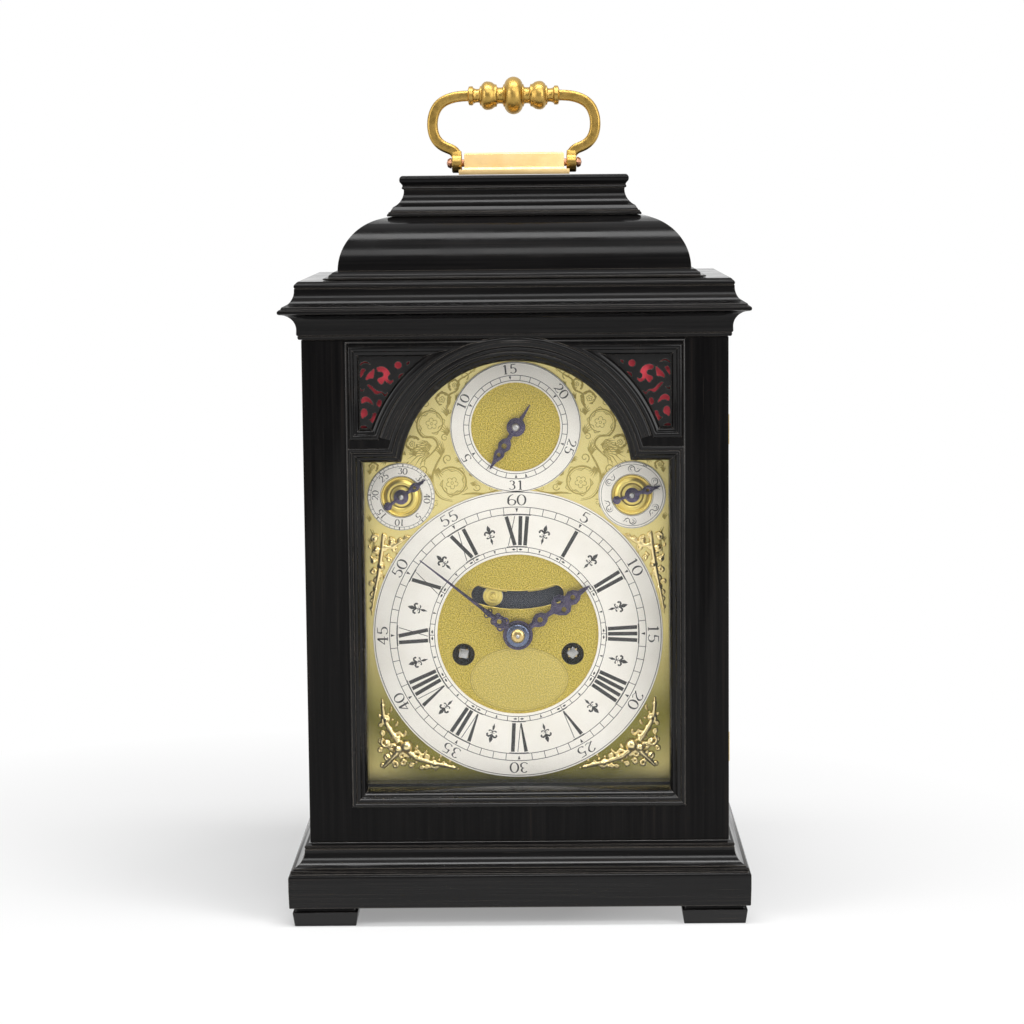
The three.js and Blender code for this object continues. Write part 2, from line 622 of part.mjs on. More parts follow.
function hourHand() {
  const arm = [[6, 1.8], [10.5, 1.5], [13, 3.4], [15.6, 4.2], [18.4, 3.2], [20.4, 1.3], [24, 1.5], [26.6, 4.4],
    [29.6, 6.4], [33, 6], [35.4, 3.2], [38, 4.4], [41, 3.6], [43.2, 1.5], [46, 1.3], [50.4, 0.3]];
  const holes = [[15.6, 0, 1.7], [30.4, 2.9, 1.5], [30.4, -2.9, 1.5], [38.6, 0, 1.5]];
  const plate = flatHand({ arm, holes, hub: 8.6, bore: 3 }, -54.3, 1.2);
  const pipe = turnedY([[2.4, -54.3], [4.4, -54.3], [4.4, -36.3], [2.4, -36.3], [2.4, -54.3]], 0, 0, 16);
  node('hour_hand', placed(join(plate, pipe), hourAngle, 0, dialCentreZ), bluedSteel);
}

function minuteHand() {
  const arm = [[4, 1.6], [8.6, 1.4], [11, 3.1], [13.6, 3.8], [16.4, 3], [18.4, 1.3], [22, 1.7], [25, 1], [40, 0.8],
    [71.5, 0.3]];
  const plate = flatHand({ arm, holes: [[13.6, 0, 1.5]], hub: 6.4 }, -57.2, 1);
  const collet = turnedY([[0, -58.8], [2.6, -58.8], [3.9, -58], [3.9, -57], [0, -57]], 0, 0, 16);
  const bore = rodY(2.2, -60, -50, 0, 0, 16);
  node('minute_hand', placed(cut(join(plate, collet), bore), minuteAngle, 0, dialCentreZ), bluedSteel);
}

function smallHands() {
  const arbor = (rear) => turnedY([[0, -54.2], [1.2, -54], [1.5, -53.4], [1.5, rear], [0, rear]], 0, 0, 10);
  const dateArm = [[4, 1.4], [8, 1.2], [10, 3], [12.8, 3.8], [16, 2.2], [18, 3.1], [21, 2.2], [23, 1.2], [28.2, 0.3]];
  const date = flatHand({
    arm: dateArm, tail: [[4, 1.2], [15.1, 0.3]], holes: [[12.8, 0, 1.6], [18.6, 0, 1.2]], hub: 5.4,
  }, -53.2, 0.9);
  node('date_hand', placed(join(date, arbor(-46)), dateAngle, dateRing.x, dateRing.z), bluedSteel);
  const small = () => join(flatHand({
    arm: [[3, 1.1], [6, 1], [8, 2.3], [10.4, 2.6], [12.6, 1.1], [17, 0.3]], tail: [[3, 0.9], [8, 0.8]],
    holes: [[9.4, 0, 1]], hub: 4.3, ball: [9.3, 2.4],
  }, -53.2, 0.9), arbor(-46));
  node('regulation_hand', placed(small(), regulationAngle, -smallRing.x, smallRing.z), bluedSteel);
  node('strike_hand', placed(small(), strikeAngle, smallRing.x, smallRing.z), bluedSteel);
}

// ---------------------------------------------------------------- movement
const fuseeX = windingHole.x;
const fuseeZ = windingHole.z;
const barrelAt = { x: 34, z: 103, radius: 21 };
const greatTeeth = 72;
const pinionTeeth = 6;

function wheelShape(teeth, root, tip, phase) {
  const pitch = (Math.PI * 2) / teeth;
  const points = [];
  for (let i = 0; i < teeth; i += 1) {
    const middle = phase + i * pitch;
    for (const [turn, radius] of [[-0.28, root], [0, tip], [0.28, root]]) {
      const angle = middle + turn * pitch;
      points.push(new THREE.Vector2(radius * Math.cos(angle), radius * Math.sin(angle)));
    }
  }
  return new THREE.Shape(points);
}

const wheel = (teeth, root, tip, phase, y, thickness) =>
  facePlate(wheelShape(teeth, root, tip, phase), y, thickness);

function plates() {
  const outline = rectangleOutline(plateHalfWidth, plateBottom, plateTop);
  const bores = (y0, y1) => [
    rodY(2.7, y0, y1, fuseeX, fuseeZ), rodY(2.7, y0, y1, -fuseeX, fuseeZ),
    rodY(2.5, y0, y1, barrelAt.x, barrelAt.z), rodY(2.5, y0, y1, -barrelAt.x, barrelAt.z),
    rodY(2.1, y0, y1, 0, mockPivotZ),
  ];
  const front = facePlate(shapeOf(outline), frontPlate[0], frontPlate[1] - frontPlate[0]);
  node('front_plate', cut(front, rodY(2.1, -40, -30, 0, dialCentreZ), ...bores(-40, -30)), brass);
  const back = facePlate(shapeOf(outline), backPlate[0], backPlate[1] - backPlate[0]);
  const pillar = (x, z) => turnedY([
    [0, frontPlate[1] + GAP], [5.4, frontPlate[1] + GAP], [5.4, -29], [3.4, -27], [5.2, -14],
    [3.2, -3], [5.2, 9], [3.4, 22.5], [5.4, 24], [5.4, 28.4], [0, 28.4]], x, z, 8);
  const pillars = [[-58, 85], [58, 85], [-58, 254], [58, 254]].map(([x, z]) => pillar(x, z));
  const potence = box([-4, 4], [-9, 28.4], [206, 210]);
  const cock = box([-4, 4], [backPlate[1] - 0.4, 38.6], [246, 252]);
  const potenceBore = rodZ(1.5, 204, 212, 0, -5);
  node('back_plate', join(cut(join(back, potence), potenceBore, ...bores(20, 40)), ...pillars, cock), brass);
}

function fusee(side, teeth, wheelY, tip, phase) {
  const grooves = [];
  const turns = 5;
  const pitch = 6.8;
  for (let i = 0; i < turns; i += 1) {
    const y = -24 + i * pitch;
    const radius = 17 - 8 * Math.sqrt(i / turns);
    grooves.push([radius, y], [radius - 1.3, y + pitch / 2]);
  }
  const bodyProfile = [[0, -46.6], [2.4, -46.6], [2.4, -26], [17, -26], ...grooves, [9, 10.4], [9, 12],
    [2.4, 12], [2.4, 30], [0, 30]];
  const cone = turnedY(bodyProfile, 0, 0, 14);
  const square = cut(box([-2.5, 2.5], [-46.6, -38], [-2.5, 2.5]), box([-3, 3], [-60, -46.7], [-3, 3]));
  const great = wheel(teeth, tip - 1.5, tip, phase, wheelY, 1.8);
  return join(cone, square, great).translate(side * fuseeX, 0, fuseeZ);
}

const toCentre = Math.atan2(dialCentreZ - fuseeZ, -fuseeX);

function drives() {
  node('going_fusee', fusee(1, greatTeeth, -31.5, 31.9, toCentre), brass);
  node('strike_fusee', fusee(-1, 36, -28.9, 31, 0), brass);
  const barrel = (x) => turnedY([
    [0, -35.4], [2.2, -35.4], [2.2, -24], [22, -24], [22, -22.4], [21, -22.4],
    [21, 22.4], [22, 22.4], [22, 24], [2.2, 24], [2.2, 30.4], [0, 30.4]], x, barrelAt.z, 20);
  node('going_barrel', barrel(barrelAt.x), brass);
  node('strike_barrel', barrel(-barrelAt.x), brass);
}

function centreWheel() {
  const arbor = turnedY([[0, -59.4], [1.5, -59.2], [1.8, -58.8], [1.8, -33], [1.2, -32.4], [1.2, -28.6],
    [1.8, -28], [1.8, 27.7], [0, 27.7]], 0, 0, 12);
  const gapPhase = toCentre + Math.PI + Math.PI / pinionTeeth;
  const pinion = wheel(pinionTeeth, 1.5, 3.2, gapPhase, -31.8, 2.4);
  const large = wheel(32, 22, 24, 0, 18, 1.8);
  const gaps = [45, 135, 225, 315].map((angle) => rodY(6.4, 16, 22, ...arc([0, 0], 13.2, angle, angle, 1)[0], 8));
  node('centre_wheel', join(cut(large, ...gaps), arbor, pinion).translate(0, 0, dialCentreZ), brass);
}

function crownWheel() {
  const cup = turnedZ([
    [0, 208.4], [1.2, 208.4], [1.2, 213], [2.4, 213], [2.4, 226], [11.4, 226], [11.4, 234.6], [10.4, 234.6],
    [10.4, 227.4], [1.2, 227.4], [1.2, 230], [0, 230]], 0, -5, 18);
  const teeth = 9;
  const notches = Array.from({ length: teeth }, (_, i) => {
    const slot = box([9.4, 12.4], [-0.85, 0.85], [230.4, 236]);
    return slot.rotateZ((i * Math.PI * 2) / teeth).translate(0, -5, 0);
  });
  node('crown_wheel', cut(cup, ...notches), brass);
}

// The verge arbor carries the mock pendulum's disc in front and the crutch behind.
function mockPendulum() {
  const arbor = rodY(1.8, -46.8, 37.6, 0, 0);
  const arm = box([-1.2, 1.2], [-46.9, -45.9], [-mockRadius + 4, 0]);
  const disc = turnedY([[0, -47.3], [1.6, -47.3], [2, -46.9], [4.6, -46.9], [5, -47.2], [5.9, -46.8],
    [5.9, -45.9], [0, -45.9]], 0, -mockRadius, 24);
  const pallets = [-15.6, 5.6].map((y) => box([-1, 1], [y - 1.6, y + 1.6], [-4.4, 0]));
  const crutch = box([-1.4, 1.4], [36.2, 37.6], [-35, 0]);
  const bridge = box([-4.6, 4.6], [36.2, 37.6], [-36, -33]);
  const fork = [-1, 1].map((side) => rodY(0.8, 37, 45, side * 3.4, -34.5, 8));
  const whole = join(arbor, arm, disc, ...pallets, crutch, bridge, ...fork);
  node('mock_pendulum', placed(whole, mockAngle, 0, mockPivotZ), steel);
}

function pendulum() {
  const length = 140;
  const rod = rodZ(1.3, -length - 14, 1.2, 0, 42, 10);
  const bob = turnedY([[0, 36.6], [6, 37], [13, 38.6], [18, 41.2], [18, 42.8], [13, 45.4], [6, 47], [0, 47.4]],
    0, -length, 24);
  const nut = rodZ(3.4, -length - 23, -length - 19.4, 0, 42, 10);
  const screw = rodZ(1, -length - 26, -length - 12, 0, 42, 8);
  node('pendulum', placed(join(rod, bob, nut, screw), mockAngle, 0, mockPivotZ), brass);
  node('suspension_block', box([-5, 5], [38.9, 45], [mockPivotZ + 2, mockPivotZ + 14]), brass);
}

function bellAndHammer() {
  const [mouth, radius, wall] = [283, 33, 2];
  const outer = arc([0, mouth], radius, 0, 86, 6);
  const inner = arc([0, mouth], radius - wall, 86, 0, 5);
  const profile = [[0, mouth + radius], ...outer.reverse(), ...inner.reverse(), [0, mouth + radius - wall]];
  node('bell', turnedZ(profile, 0, -6, 22), bellMetal);
  const armLow = mouth + radius + GAP;
  const stand = join(
    box([14, 22], [backPlate[1] + GAP, 34.6], [236, armLow + 4]),
    box([-5, 22], [backPlate[1] + GAP, 34.6], [armLow, armLow + 4]),
    box([-5, 5], [-11, 34.6], [armLow, armLow + 4]));
  node('bell_stand', stand, steel);
  const [pivotX, pivotZ] = [44, 238];
  const hammer = join(
    rodY(1.6, frontPlate[1] + GAP, backPlate[0] - GAP, pivotX, pivotZ),
    box([pivotX - 1.4, pivotX + 1.4], [-7.4, -4.6], [pivotZ, 292]),
    rodX(4, radius + 1.2, 48, -6, 289, 12));
  node('bell_hammer', hammer, steel);
  node('seat_board', box([-107.6, 107.6], [-46, 33], [64, plateBottom - GAP]), plainWood);
}

// ---------------------------------------------------------------- assembly
feet();
baseMoulding();
sidePanels();
cornice();
bellTop();
caddyCap();
handlePlate();
handlePins();
handleBail();
frontDoorFrame();
cornerFrets();
frontHinges();
backDoor();
dialMask();
dialPlate();
dialRings();
spandrels();
hourHand();
minuteHand();
smallHands();
plates();
drives();
centreWheel();
crownWheel();
mockPendulum();
pendulum();
bellAndHammer();

export default clock;
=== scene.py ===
# %% [markdown]
# # A bracket clock with an arched brass dial, in Blender
# The clock's solids arrive as a finished frame: every piece in its real place, at its real
# size, in metres. This lesson dresses that frame. Some solids only need a good material.
# Others, such as mouldings, castings and hands, are modelled again with finer shapes, and
# each new piece then stands for the plain solid and moves with the same body.

# %% Load the frame
import json
import math

import bmesh
import bpy
from mathutils import Matrix, Vector


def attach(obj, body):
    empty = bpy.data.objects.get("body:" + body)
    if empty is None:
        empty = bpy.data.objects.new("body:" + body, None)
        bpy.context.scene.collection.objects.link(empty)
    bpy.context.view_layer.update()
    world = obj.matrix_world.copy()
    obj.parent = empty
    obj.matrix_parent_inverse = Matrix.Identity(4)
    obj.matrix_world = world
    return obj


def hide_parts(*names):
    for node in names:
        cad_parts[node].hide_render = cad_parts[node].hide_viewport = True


MM = 0.001
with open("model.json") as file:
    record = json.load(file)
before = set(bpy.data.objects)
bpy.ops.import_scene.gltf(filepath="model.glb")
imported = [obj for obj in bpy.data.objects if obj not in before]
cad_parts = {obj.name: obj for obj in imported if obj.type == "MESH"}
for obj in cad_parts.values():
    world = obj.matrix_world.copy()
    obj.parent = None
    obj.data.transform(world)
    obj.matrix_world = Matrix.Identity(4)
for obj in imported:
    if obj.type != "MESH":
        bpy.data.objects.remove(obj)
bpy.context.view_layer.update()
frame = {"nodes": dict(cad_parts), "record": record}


# %% [markdown]
# ## Working by hand, from a script
# An operator acts on whatever is selected, and the solids come in selected. So every step
# starts by letting go of everything and taking one object. `editing` opens edit mode on an
# object, and `pick` selects its corners, edges or faces by a test on their place, as a
# maker would click on them.

# %% Select, edit and pick
def take(*objects):
    """Lets go of everything, then selects these and makes the first one active."""
    if bpy.context.mode != "OBJECT":
        bpy.ops.object.mode_set(mode="OBJECT")
    bpy.ops.object.select_all(action="DESELECT")
    for one in objects:
        one.select_set(True)
    bpy.context.view_layer.objects.active = objects[0]
    return objects[0]


class editing:
    """`with editing(piece):` opens edit mode with nothing selected, and closes it again."""

    def __init__(self, piece):
        self.piece = piece

    def __enter__(self):
        take(self.piece)
        bpy.ops.object.mode_set(mode="EDIT")
        bpy.ops.mesh.select_all(action="DESELECT")
        return self.piece

    def __exit__(self, *problem):
        bpy.ops.object.mode_set(mode="OBJECT")


def pick(kind, test):
    """Selects the VERT, EDGE or FACE items whose middle (and normal) pass the test."""
    bpy.ops.mesh.select_mode(type=kind)
    mesh = bmesh.from_edit_mesh(bpy.context.object.data)
    items = {"VERT": mesh.verts, "EDGE": mesh.edges, "FACE": mesh.faces}[kind]
    for item in items:
        if kind == "VERT":
            item.select_set(bool(test(item.co, item)))
        else:
            corners = [v.co for v in item.verts]
            middle = sum(corners, Vector()) / len(corners)
            item.select_set(bool(test(middle, item)))
    mesh.select_flush_mode()
    bmesh.update_edit_mesh(bpy.context.object.data)


print("faces, edges and points can be picked by a test")


# %% [markdown]
# ### Settling, modifying and copying
# A finished piece sits at the origin with its place in its mesh. Modifiers are applied at
# once, as by clicking Apply. A repeated piece is modelled once and copied with a mesh of
# its own, so that no two pieces share one.

# %% Settle, modify, join and copy
def settle(piece):
    """Leaves the object at the origin, unturned and unscaled, with its place in its mesh."""
    take(piece)
    bpy.ops.object.transform_apply(location=True, rotation=True, scale=True)
    return piece


def modify(piece, kind, **settings):
    """Adds one modifier with its settings and applies it at once."""
    take(piece)
    modifier = piece.modifiers.new(kind.lower(), kind)
    for key, value in settings.items():
        setattr(modifier, key, value)
    bpy.ops.object.modifier_apply(modifier=modifier.name)
    return piece


def weld(piece):
    """Merges corners that lie on each other and turns every face outwards."""
    with editing(piece):
        bpy.ops.mesh.select_all(action="SELECT")
        bpy.ops.mesh.remove_doubles(threshold=0.001 * MM)
        bpy.ops.mesh.normals_make_consistent(inside=False)
    return piece


def joined(*pieces):
    take(*pieces)
    bpy.ops.object.join()
    return pieces[0]


def block(size, middle):
    """A plain block, with its size and its middle in mm."""
    bpy.ops.object.select_all(action="DESELECT")
    bpy.ops.mesh.primitive_cube_add(size=1, location=[v * MM for v in middle])
    piece = bpy.context.object
    piece.scale = [v * MM for v in size]
    return settle(piece)


def twin_of(piece):
    """A copy with its own mesh, free of any parent."""
    twin = piece.copy()
    twin.data = piece.data.copy()
    twin.parent = None
    bpy.context.scene.collection.objects.link(twin)
    return twin


def as_mesh(name, curve):
    """Puts a curve in the scene and makes it a mesh."""
    piece = bpy.data.objects.new(name, curve)
    bpy.context.scene.collection.objects.link(piece)
    take(piece)
    bpy.ops.object.convert(target="MESH")
    return bpy.context.object


print("workbench ready")


# %% [markdown]
# ## Materials
# Every finish here is a small set of nodes on the Principled shader. Patterns read Object
# coordinates, so they keep their scale in metres and stay on the piece when it moves. The
# helpers below are the few blocks that all the finishes share: stretched noise for grain,
# a ramp for colour, bump for relief.

# %% Nodes and their joins
def socket_name(key):
    return key.replace("_", " ").title().replace("Ior", "IOR")


class Wiring:
    """Short calls that add nodes to a tree and join them."""

    def __init__(self, tree):
        self.tree = tree

    def add(self, kind, **inputs):
        node = self.tree.nodes.new(kind)
        for key, value in inputs.items():
            self.feed(node.inputs[key], value)
        return node

    def feed(self, socket, value):
        if isinstance(value, bpy.types.NodeSocket):
            self.tree.links.new(value, socket)
        else:
            socket.default_value = value

    def ramp(self, value, *stops):
        node = self.add("ShaderNodeValToRGB", Fac=value)
        ramp = node.color_ramp
        while len(ramp.elements) < len(stops):
            ramp.elements.new(0.5)
        for element, (place, colour) in zip(ramp.elements, stops):
            element.position = place
            if not hasattr(colour, "__len__"):
                colour = (colour,) * 3
            element.color = (*colour, 1)
        return node.outputs["Color"]

    def maths(self, operation, a, b=0.0):
        node = self.tree.nodes.new("ShaderNodeMath")
        node.operation = operation
        self.feed(node.inputs[0], a)
        self.feed(node.inputs[1], b)
        return node.outputs[0]

    def mixed(self, factor, a, b):
        node = self.tree.nodes.new("ShaderNodeMix")
        node.data_type = "RGBA"
        self.feed(node.inputs[0], factor)
        self.feed(node.inputs[6], a)
        self.feed(node.inputs[7], b)
        return node.outputs[2]


print("nodes can be added, joined and mixed")


# %% [markdown]
# ### A finish
# A finish is one material: a Principled shader with patterns wired into it. The patterns
# are measured from the object's own origin, so they keep their size on every piece.

# %% A finish
class Finish(Wiring):
    """A Principled material, with patterns that read Object coordinates."""

    def __init__(self, name, **values):
        self.material = bpy.data.materials.new(name)
        self.material.use_nodes = True
        super().__init__(self.material.node_tree)
        self.shader = self.tree.nodes["Principled BSDF"]
        self.coords = self.tree.nodes.new("ShaderNodeTexCoord").outputs["Object"]
        for key, value in values.items():
            self.shader.inputs[socket_name(key)].default_value = value

    def stretched(self, scale):
        node = self.add("ShaderNodeMapping", Vector=self.coords, Scale=scale)
        return node.outputs["Vector"]

    def noise(self, scale, detail, rough, vector=None):
        node = self.add("ShaderNodeTexNoise", Vector=vector or self.coords, Scale=scale,
                        Detail=detail, Roughness=rough)
        return node.outputs["Fac"]

    def relief(self, height, depth, strength):
        node = self.add("ShaderNodeBump", Height=height, Distance=depth * MM,
                        Strength=strength)
        return node.outputs["Normal"]

    def set(self, **inputs):
        for key, value in inputs.items():
            self.feed(self.shader.inputs[socket_name(key)], value)

    def reach(self, x, z, tall=1.0):
        """Distance, seen from the front, from x, z in mm; `tall` squeezes it to an oval."""
        apart = self.add("ShaderNodeSeparateXYZ", Vector=self.coords)
        dx = self.maths("SUBTRACT", apart.outputs[0], x * MM)
        dz = self.maths("MULTIPLY", self.maths("SUBTRACT", apart.outputs[2], z * MM), tall)
        total = self.maths("ADD", self.maths("MULTIPLY", dx, dx), self.maths("MULTIPLY", dz, dz))
        return self.maths("SQRT", total)


print("blocks for materials ready")


# %% [markdown]
# ### Ebonised wood
# The case is close-grained wood stained black and polished. Close up it is not plain black: warm
# streaks follow the grain, the polish is uneven, and the arrises are pale brown. That pale edge is
# partly wear and partly a painted highlight, where the beads and sawn edges would catch the lamps.
# Grain is noise squeezed across the run of the wood, so upright and level pieces need different
# stretches. A Bevel node rounds the normal near an arris: where that differs from the real normal
# there is an edge, and a second noise breaks the pale edge up into patches.

# %% Ebonised wood, upright and level
EDGE_WEAR_AND_HIGHLIGHT_WIDTH = 0.45
EDGE_WEAR_AND_HIGHLIGHT_BROWN = (0.20, 0.175, 0.15, 1)
SCRATCH_GREY = (0.045, 0.038, 0.033, 1)


def ebonised(name, stretch, edge_wear_and_highlight=0.5, shine=0.2):
    finish = Finish(name, Specular_ior_level=shine)
    grain = finish.noise(1.0, 6, 0.6, finish.stretched(stretch))
    colour = finish.ramp(grain, (0.38, (0.0042, 0.0040, 0.0042)), (0.60, (0.0075, 0.0070, 0.0070)),
                         (0.80, (0.017, 0.013, 0.011)))
    rounded = finish.add("ShaderNodeBevel", Radius=EDGE_WEAR_AND_HIGHLIGHT_WIDTH * MM).outputs["Normal"]
    flat = finish.add("ShaderNodeNewGeometry").outputs["Normal"]
    across = finish.tree.nodes.new("ShaderNodeVectorMath")
    across.operation = "DOT_PRODUCT"
    finish.feed(across.inputs[0], rounded)
    finish.feed(across.inputs[1], flat)
    patches = finish.noise(90.0, 6, 0.75)
    edge = finish.maths("SUBTRACT", 1.0, across.outputs["Value"])
    # Pale brown arrises: partly wear, partly a painted highlight along the edges.
    worn_and_highlit = finish.ramp(finish.maths("MULTIPLY", edge, patches), (0.015, 0.0), (0.08, edge_wear_and_highlight))
    scratches = finish.noise(1.0, 3, 0.5, finish.stretched([v * 1.7 for v in stretch]))
    scratched = finish.ramp(scratches, (0.70, 0.0), (0.76, 0.35))
    colour = finish.mixed(scratched, colour, SCRATCH_GREY)
    finish.set(Base_color=finish.mixed(worn_and_highlit, colour, EDGE_WEAR_AND_HIGHLIGHT_BROWN))
    gloss = finish.noise(35.0, 4, 0.6)
    finish.set(Roughness=finish.ramp(gloss, (0.3, 0.10), (0.75, 0.22)))
    finish.set(Normal=finish.relief(grain, 0.02, 0.2))
    return finish.material


# The moulded, fret, base and feet finishes get stronger pale arrises: more painted highlight on
# beads and sawn edges, besides wear.
ebony_upright = ebonised("ebony_upright", (420, 420, 9), shine=0.07)
ebony_moulded = ebonised("ebony_moulded", (60, 60, 60), edge_wear_and_highlight=0.8, shine=0.26)
ebony_fret = ebonised("ebony_fret", (90, 90, 90), edge_wear_and_highlight=1.0, shine=0.3)
ebony_level = ebonised("ebony_level", (12, 12, 700), shine=0.14)
ebony_base = ebonised("ebony_base", (12, 12, 700), edge_wear_and_highlight=0.7, shine=0.24)
ebony_feet = ebonised("ebony_feet", (30, 30, 900), edge_wear_and_highlight=0.9, shine=0.36)
print("ebonised finishes: upright, moulded, fret, level, base, feet")


# %% [markdown]
# ### Metals
# A metal is told apart by colour, gloss and small marks. Lacquered brass is smooth with
# faint rubbing lines, gilt castings are yellower, silvered rings are pale with a slight
# grain, and blued steel runs from purple to slate where the heat varied.

# %% Brass, gilt, silver and steel
def metal(name, colours, gloss, scale=60.0, depth=0.01, stretch=(1, 1, 1)):
    finish = Finish(name, Metallic=1.0)
    cloud = finish.noise(scale, 5, 0.6, finish.stretched(stretch))
    finish.set(Base_color=finish.ramp(cloud, (0.3, colours[0]), (0.7, colours[1])))
    rubbed = finish.noise(scale * 6, 3, 0.6)
    finish.set(Roughness=finish.ramp(rubbed, (0.3, gloss[0]), (0.7, gloss[1])))
    finish.set(Normal=finish.relief(rubbed, depth, 0.5))
    return finish.material


brass = metal("brass", ((0.66, 0.47, 0.17), (0.80, 0.60, 0.25)), (0.22, 0.36))
gilt = metal("gilt_brass", ((0.84, 0.64, 0.27), (0.98, 0.82, 0.46)), (0.20, 0.34), 90)
yellow_gilt = metal("yellow_gilt", ((0.80, 0.62, 0.15), (0.93, 0.76, 0.24)), (0.34, 0.46), 60)
handle_brass = metal("handle_brass", ((0.40, 0.25, 0.055), (0.56, 0.37, 0.11)), (0.30, 0.46), 45,
                     0.006)
plate_brass = metal("plate_brass", ((0.80, 0.57, 0.26), (0.91, 0.69, 0.36)), (0.52, 0.62), 60,
                    0.004)
copper = metal("copper_pins", ((0.42, 0.20, 0.12), (0.60, 0.32, 0.20)), (0.3, 0.5), 200)
steel = metal("steel", ((0.42, 0.42, 0.42), (0.60, 0.59, 0.57)), (0.25, 0.45), 120)
blued = metal("blued_steel", ((0.050, 0.045, 0.085), (0.135, 0.11, 0.18)), (0.25, 0.42), 220)
blued_light = metal("blued_steel_light", ((0.10, 0.13, 0.22), (0.20, 0.23, 0.33)), (0.22, 0.38),
                    220)
# Painted shade: brass made very dark to stand for the shade on the movement's front plate.
shade_dark_brass = metal("shade_dark_brass", ((0.06, 0.042, 0.016), (0.13, 0.095, 0.034)), (0.5, 0.7), 80)
bell_metal = metal("bell_metal", ((0.60, 0.47, 0.26), (0.74, 0.60, 0.36)), (0.2, 0.36), 40, 0.01,
                   (1, 1, 8))
print("metals ready")


# %% [markdown]
# ### Gilding on the castings
# On the corner castings the gilding runs from dark brown at the plate to bright gold on the tops;
# the brown in the hollows is painted shade. The hollows are the low parts, so the colour follows
# the height off the dial plate, and a little noise keeps the change from looking like a contour
# line.

# %% Gilt castings
DIAL_Y = -50.0
CAST_RISE = 2.6


def cast_gilding():
    finish = Finish("cast_gilding", Metallic=1.0)
    y = finish.add("ShaderNodeSeparateXYZ", Vector=finish.coords).outputs[1]
    rise = finish.maths("MULTIPLY", finish.maths("SUBTRACT", DIAL_Y * MM, y), 1 / (CAST_RISE * MM))
    patchy = finish.maths("ADD", rise, finish.maths("MULTIPLY", finish.noise(500.0, 3, 0.6), 0.16))
    # Painted shade: dark brown in the low hollows, rising to bright gilt on the high parts.
    finish.set(Base_color=finish.ramp(patchy, (0.22, (0.17, 0.10, 0.015)),
                                      (0.46, (0.78, 0.56, 0.14)),
                                      (0.80, (1.0, 0.82, 0.40))))
    finish.set(Roughness=finish.ramp(patchy, (0.3, 0.42), (0.7, 0.28)))
    return finish.material


gilded_casting = cast_gilding()
print("castings: dark at the plate, bright", CAST_RISE, "mm above it")


# %% [markdown]
# ### Silvered rings
# The rings are brass with a thin skin of silver rubbed on. It looks like pale, dull metal
# with a warm cast and faint clouds. A fully metallic shader would mirror the dark room and
# turn grey, so most of it is plain pale colour with a share of metal.

# %% Silvering
def silvering():
    finish = Finish("silvered_brass", Metallic=0.35)
    cloud = finish.noise(45.0, 5, 0.65)
    finish.set(Base_color=finish.ramp(cloud, (0.3, (0.88, 0.84, 0.755)),
                                      (0.7, (0.96, 0.925, 0.85))))
    grain = finish.noise(900.0, 2, 0.5)
    finish.set(Roughness=finish.ramp(grain, (0.3, 0.42), (0.7, 0.56)))
    finish.set(Normal=finish.relief(grain, 0.006, 0.5))
    return finish.material


silvered = silvering()
print("silvering ready")


# %% [markdown]
# ### The dial plate's own finish
# One sheet of brass carries several finishes: the middle of each ring is matted with a punch, and
# the arch and the margins are gilt and burnished. In the lower corners behind the castings the
# brass is painted dark olive close to the hour ring, as painted shade between the ring and the
# castings. The distance from each ring's centre says which one shows. The back of the plate and the
# walls of its holes are painted near black, as painted shade from the dark inside of the case.

# %% The dial plate's finish
DIAL = {"x": 0.0, "z": 162.0, "outer": 83.8, "inner": 46.6}
DATE = {"x": -0.2, "z": 282.3, "outer": 37.5, "inner": 25.6}
SMALL = {"x": 66.4, "z": 242.6, "outer": 19.4, "inner": 11.8}
OVAL = {"x": 0.5, "z": 135.6, "wide": 28.3, "tall": 18.5}


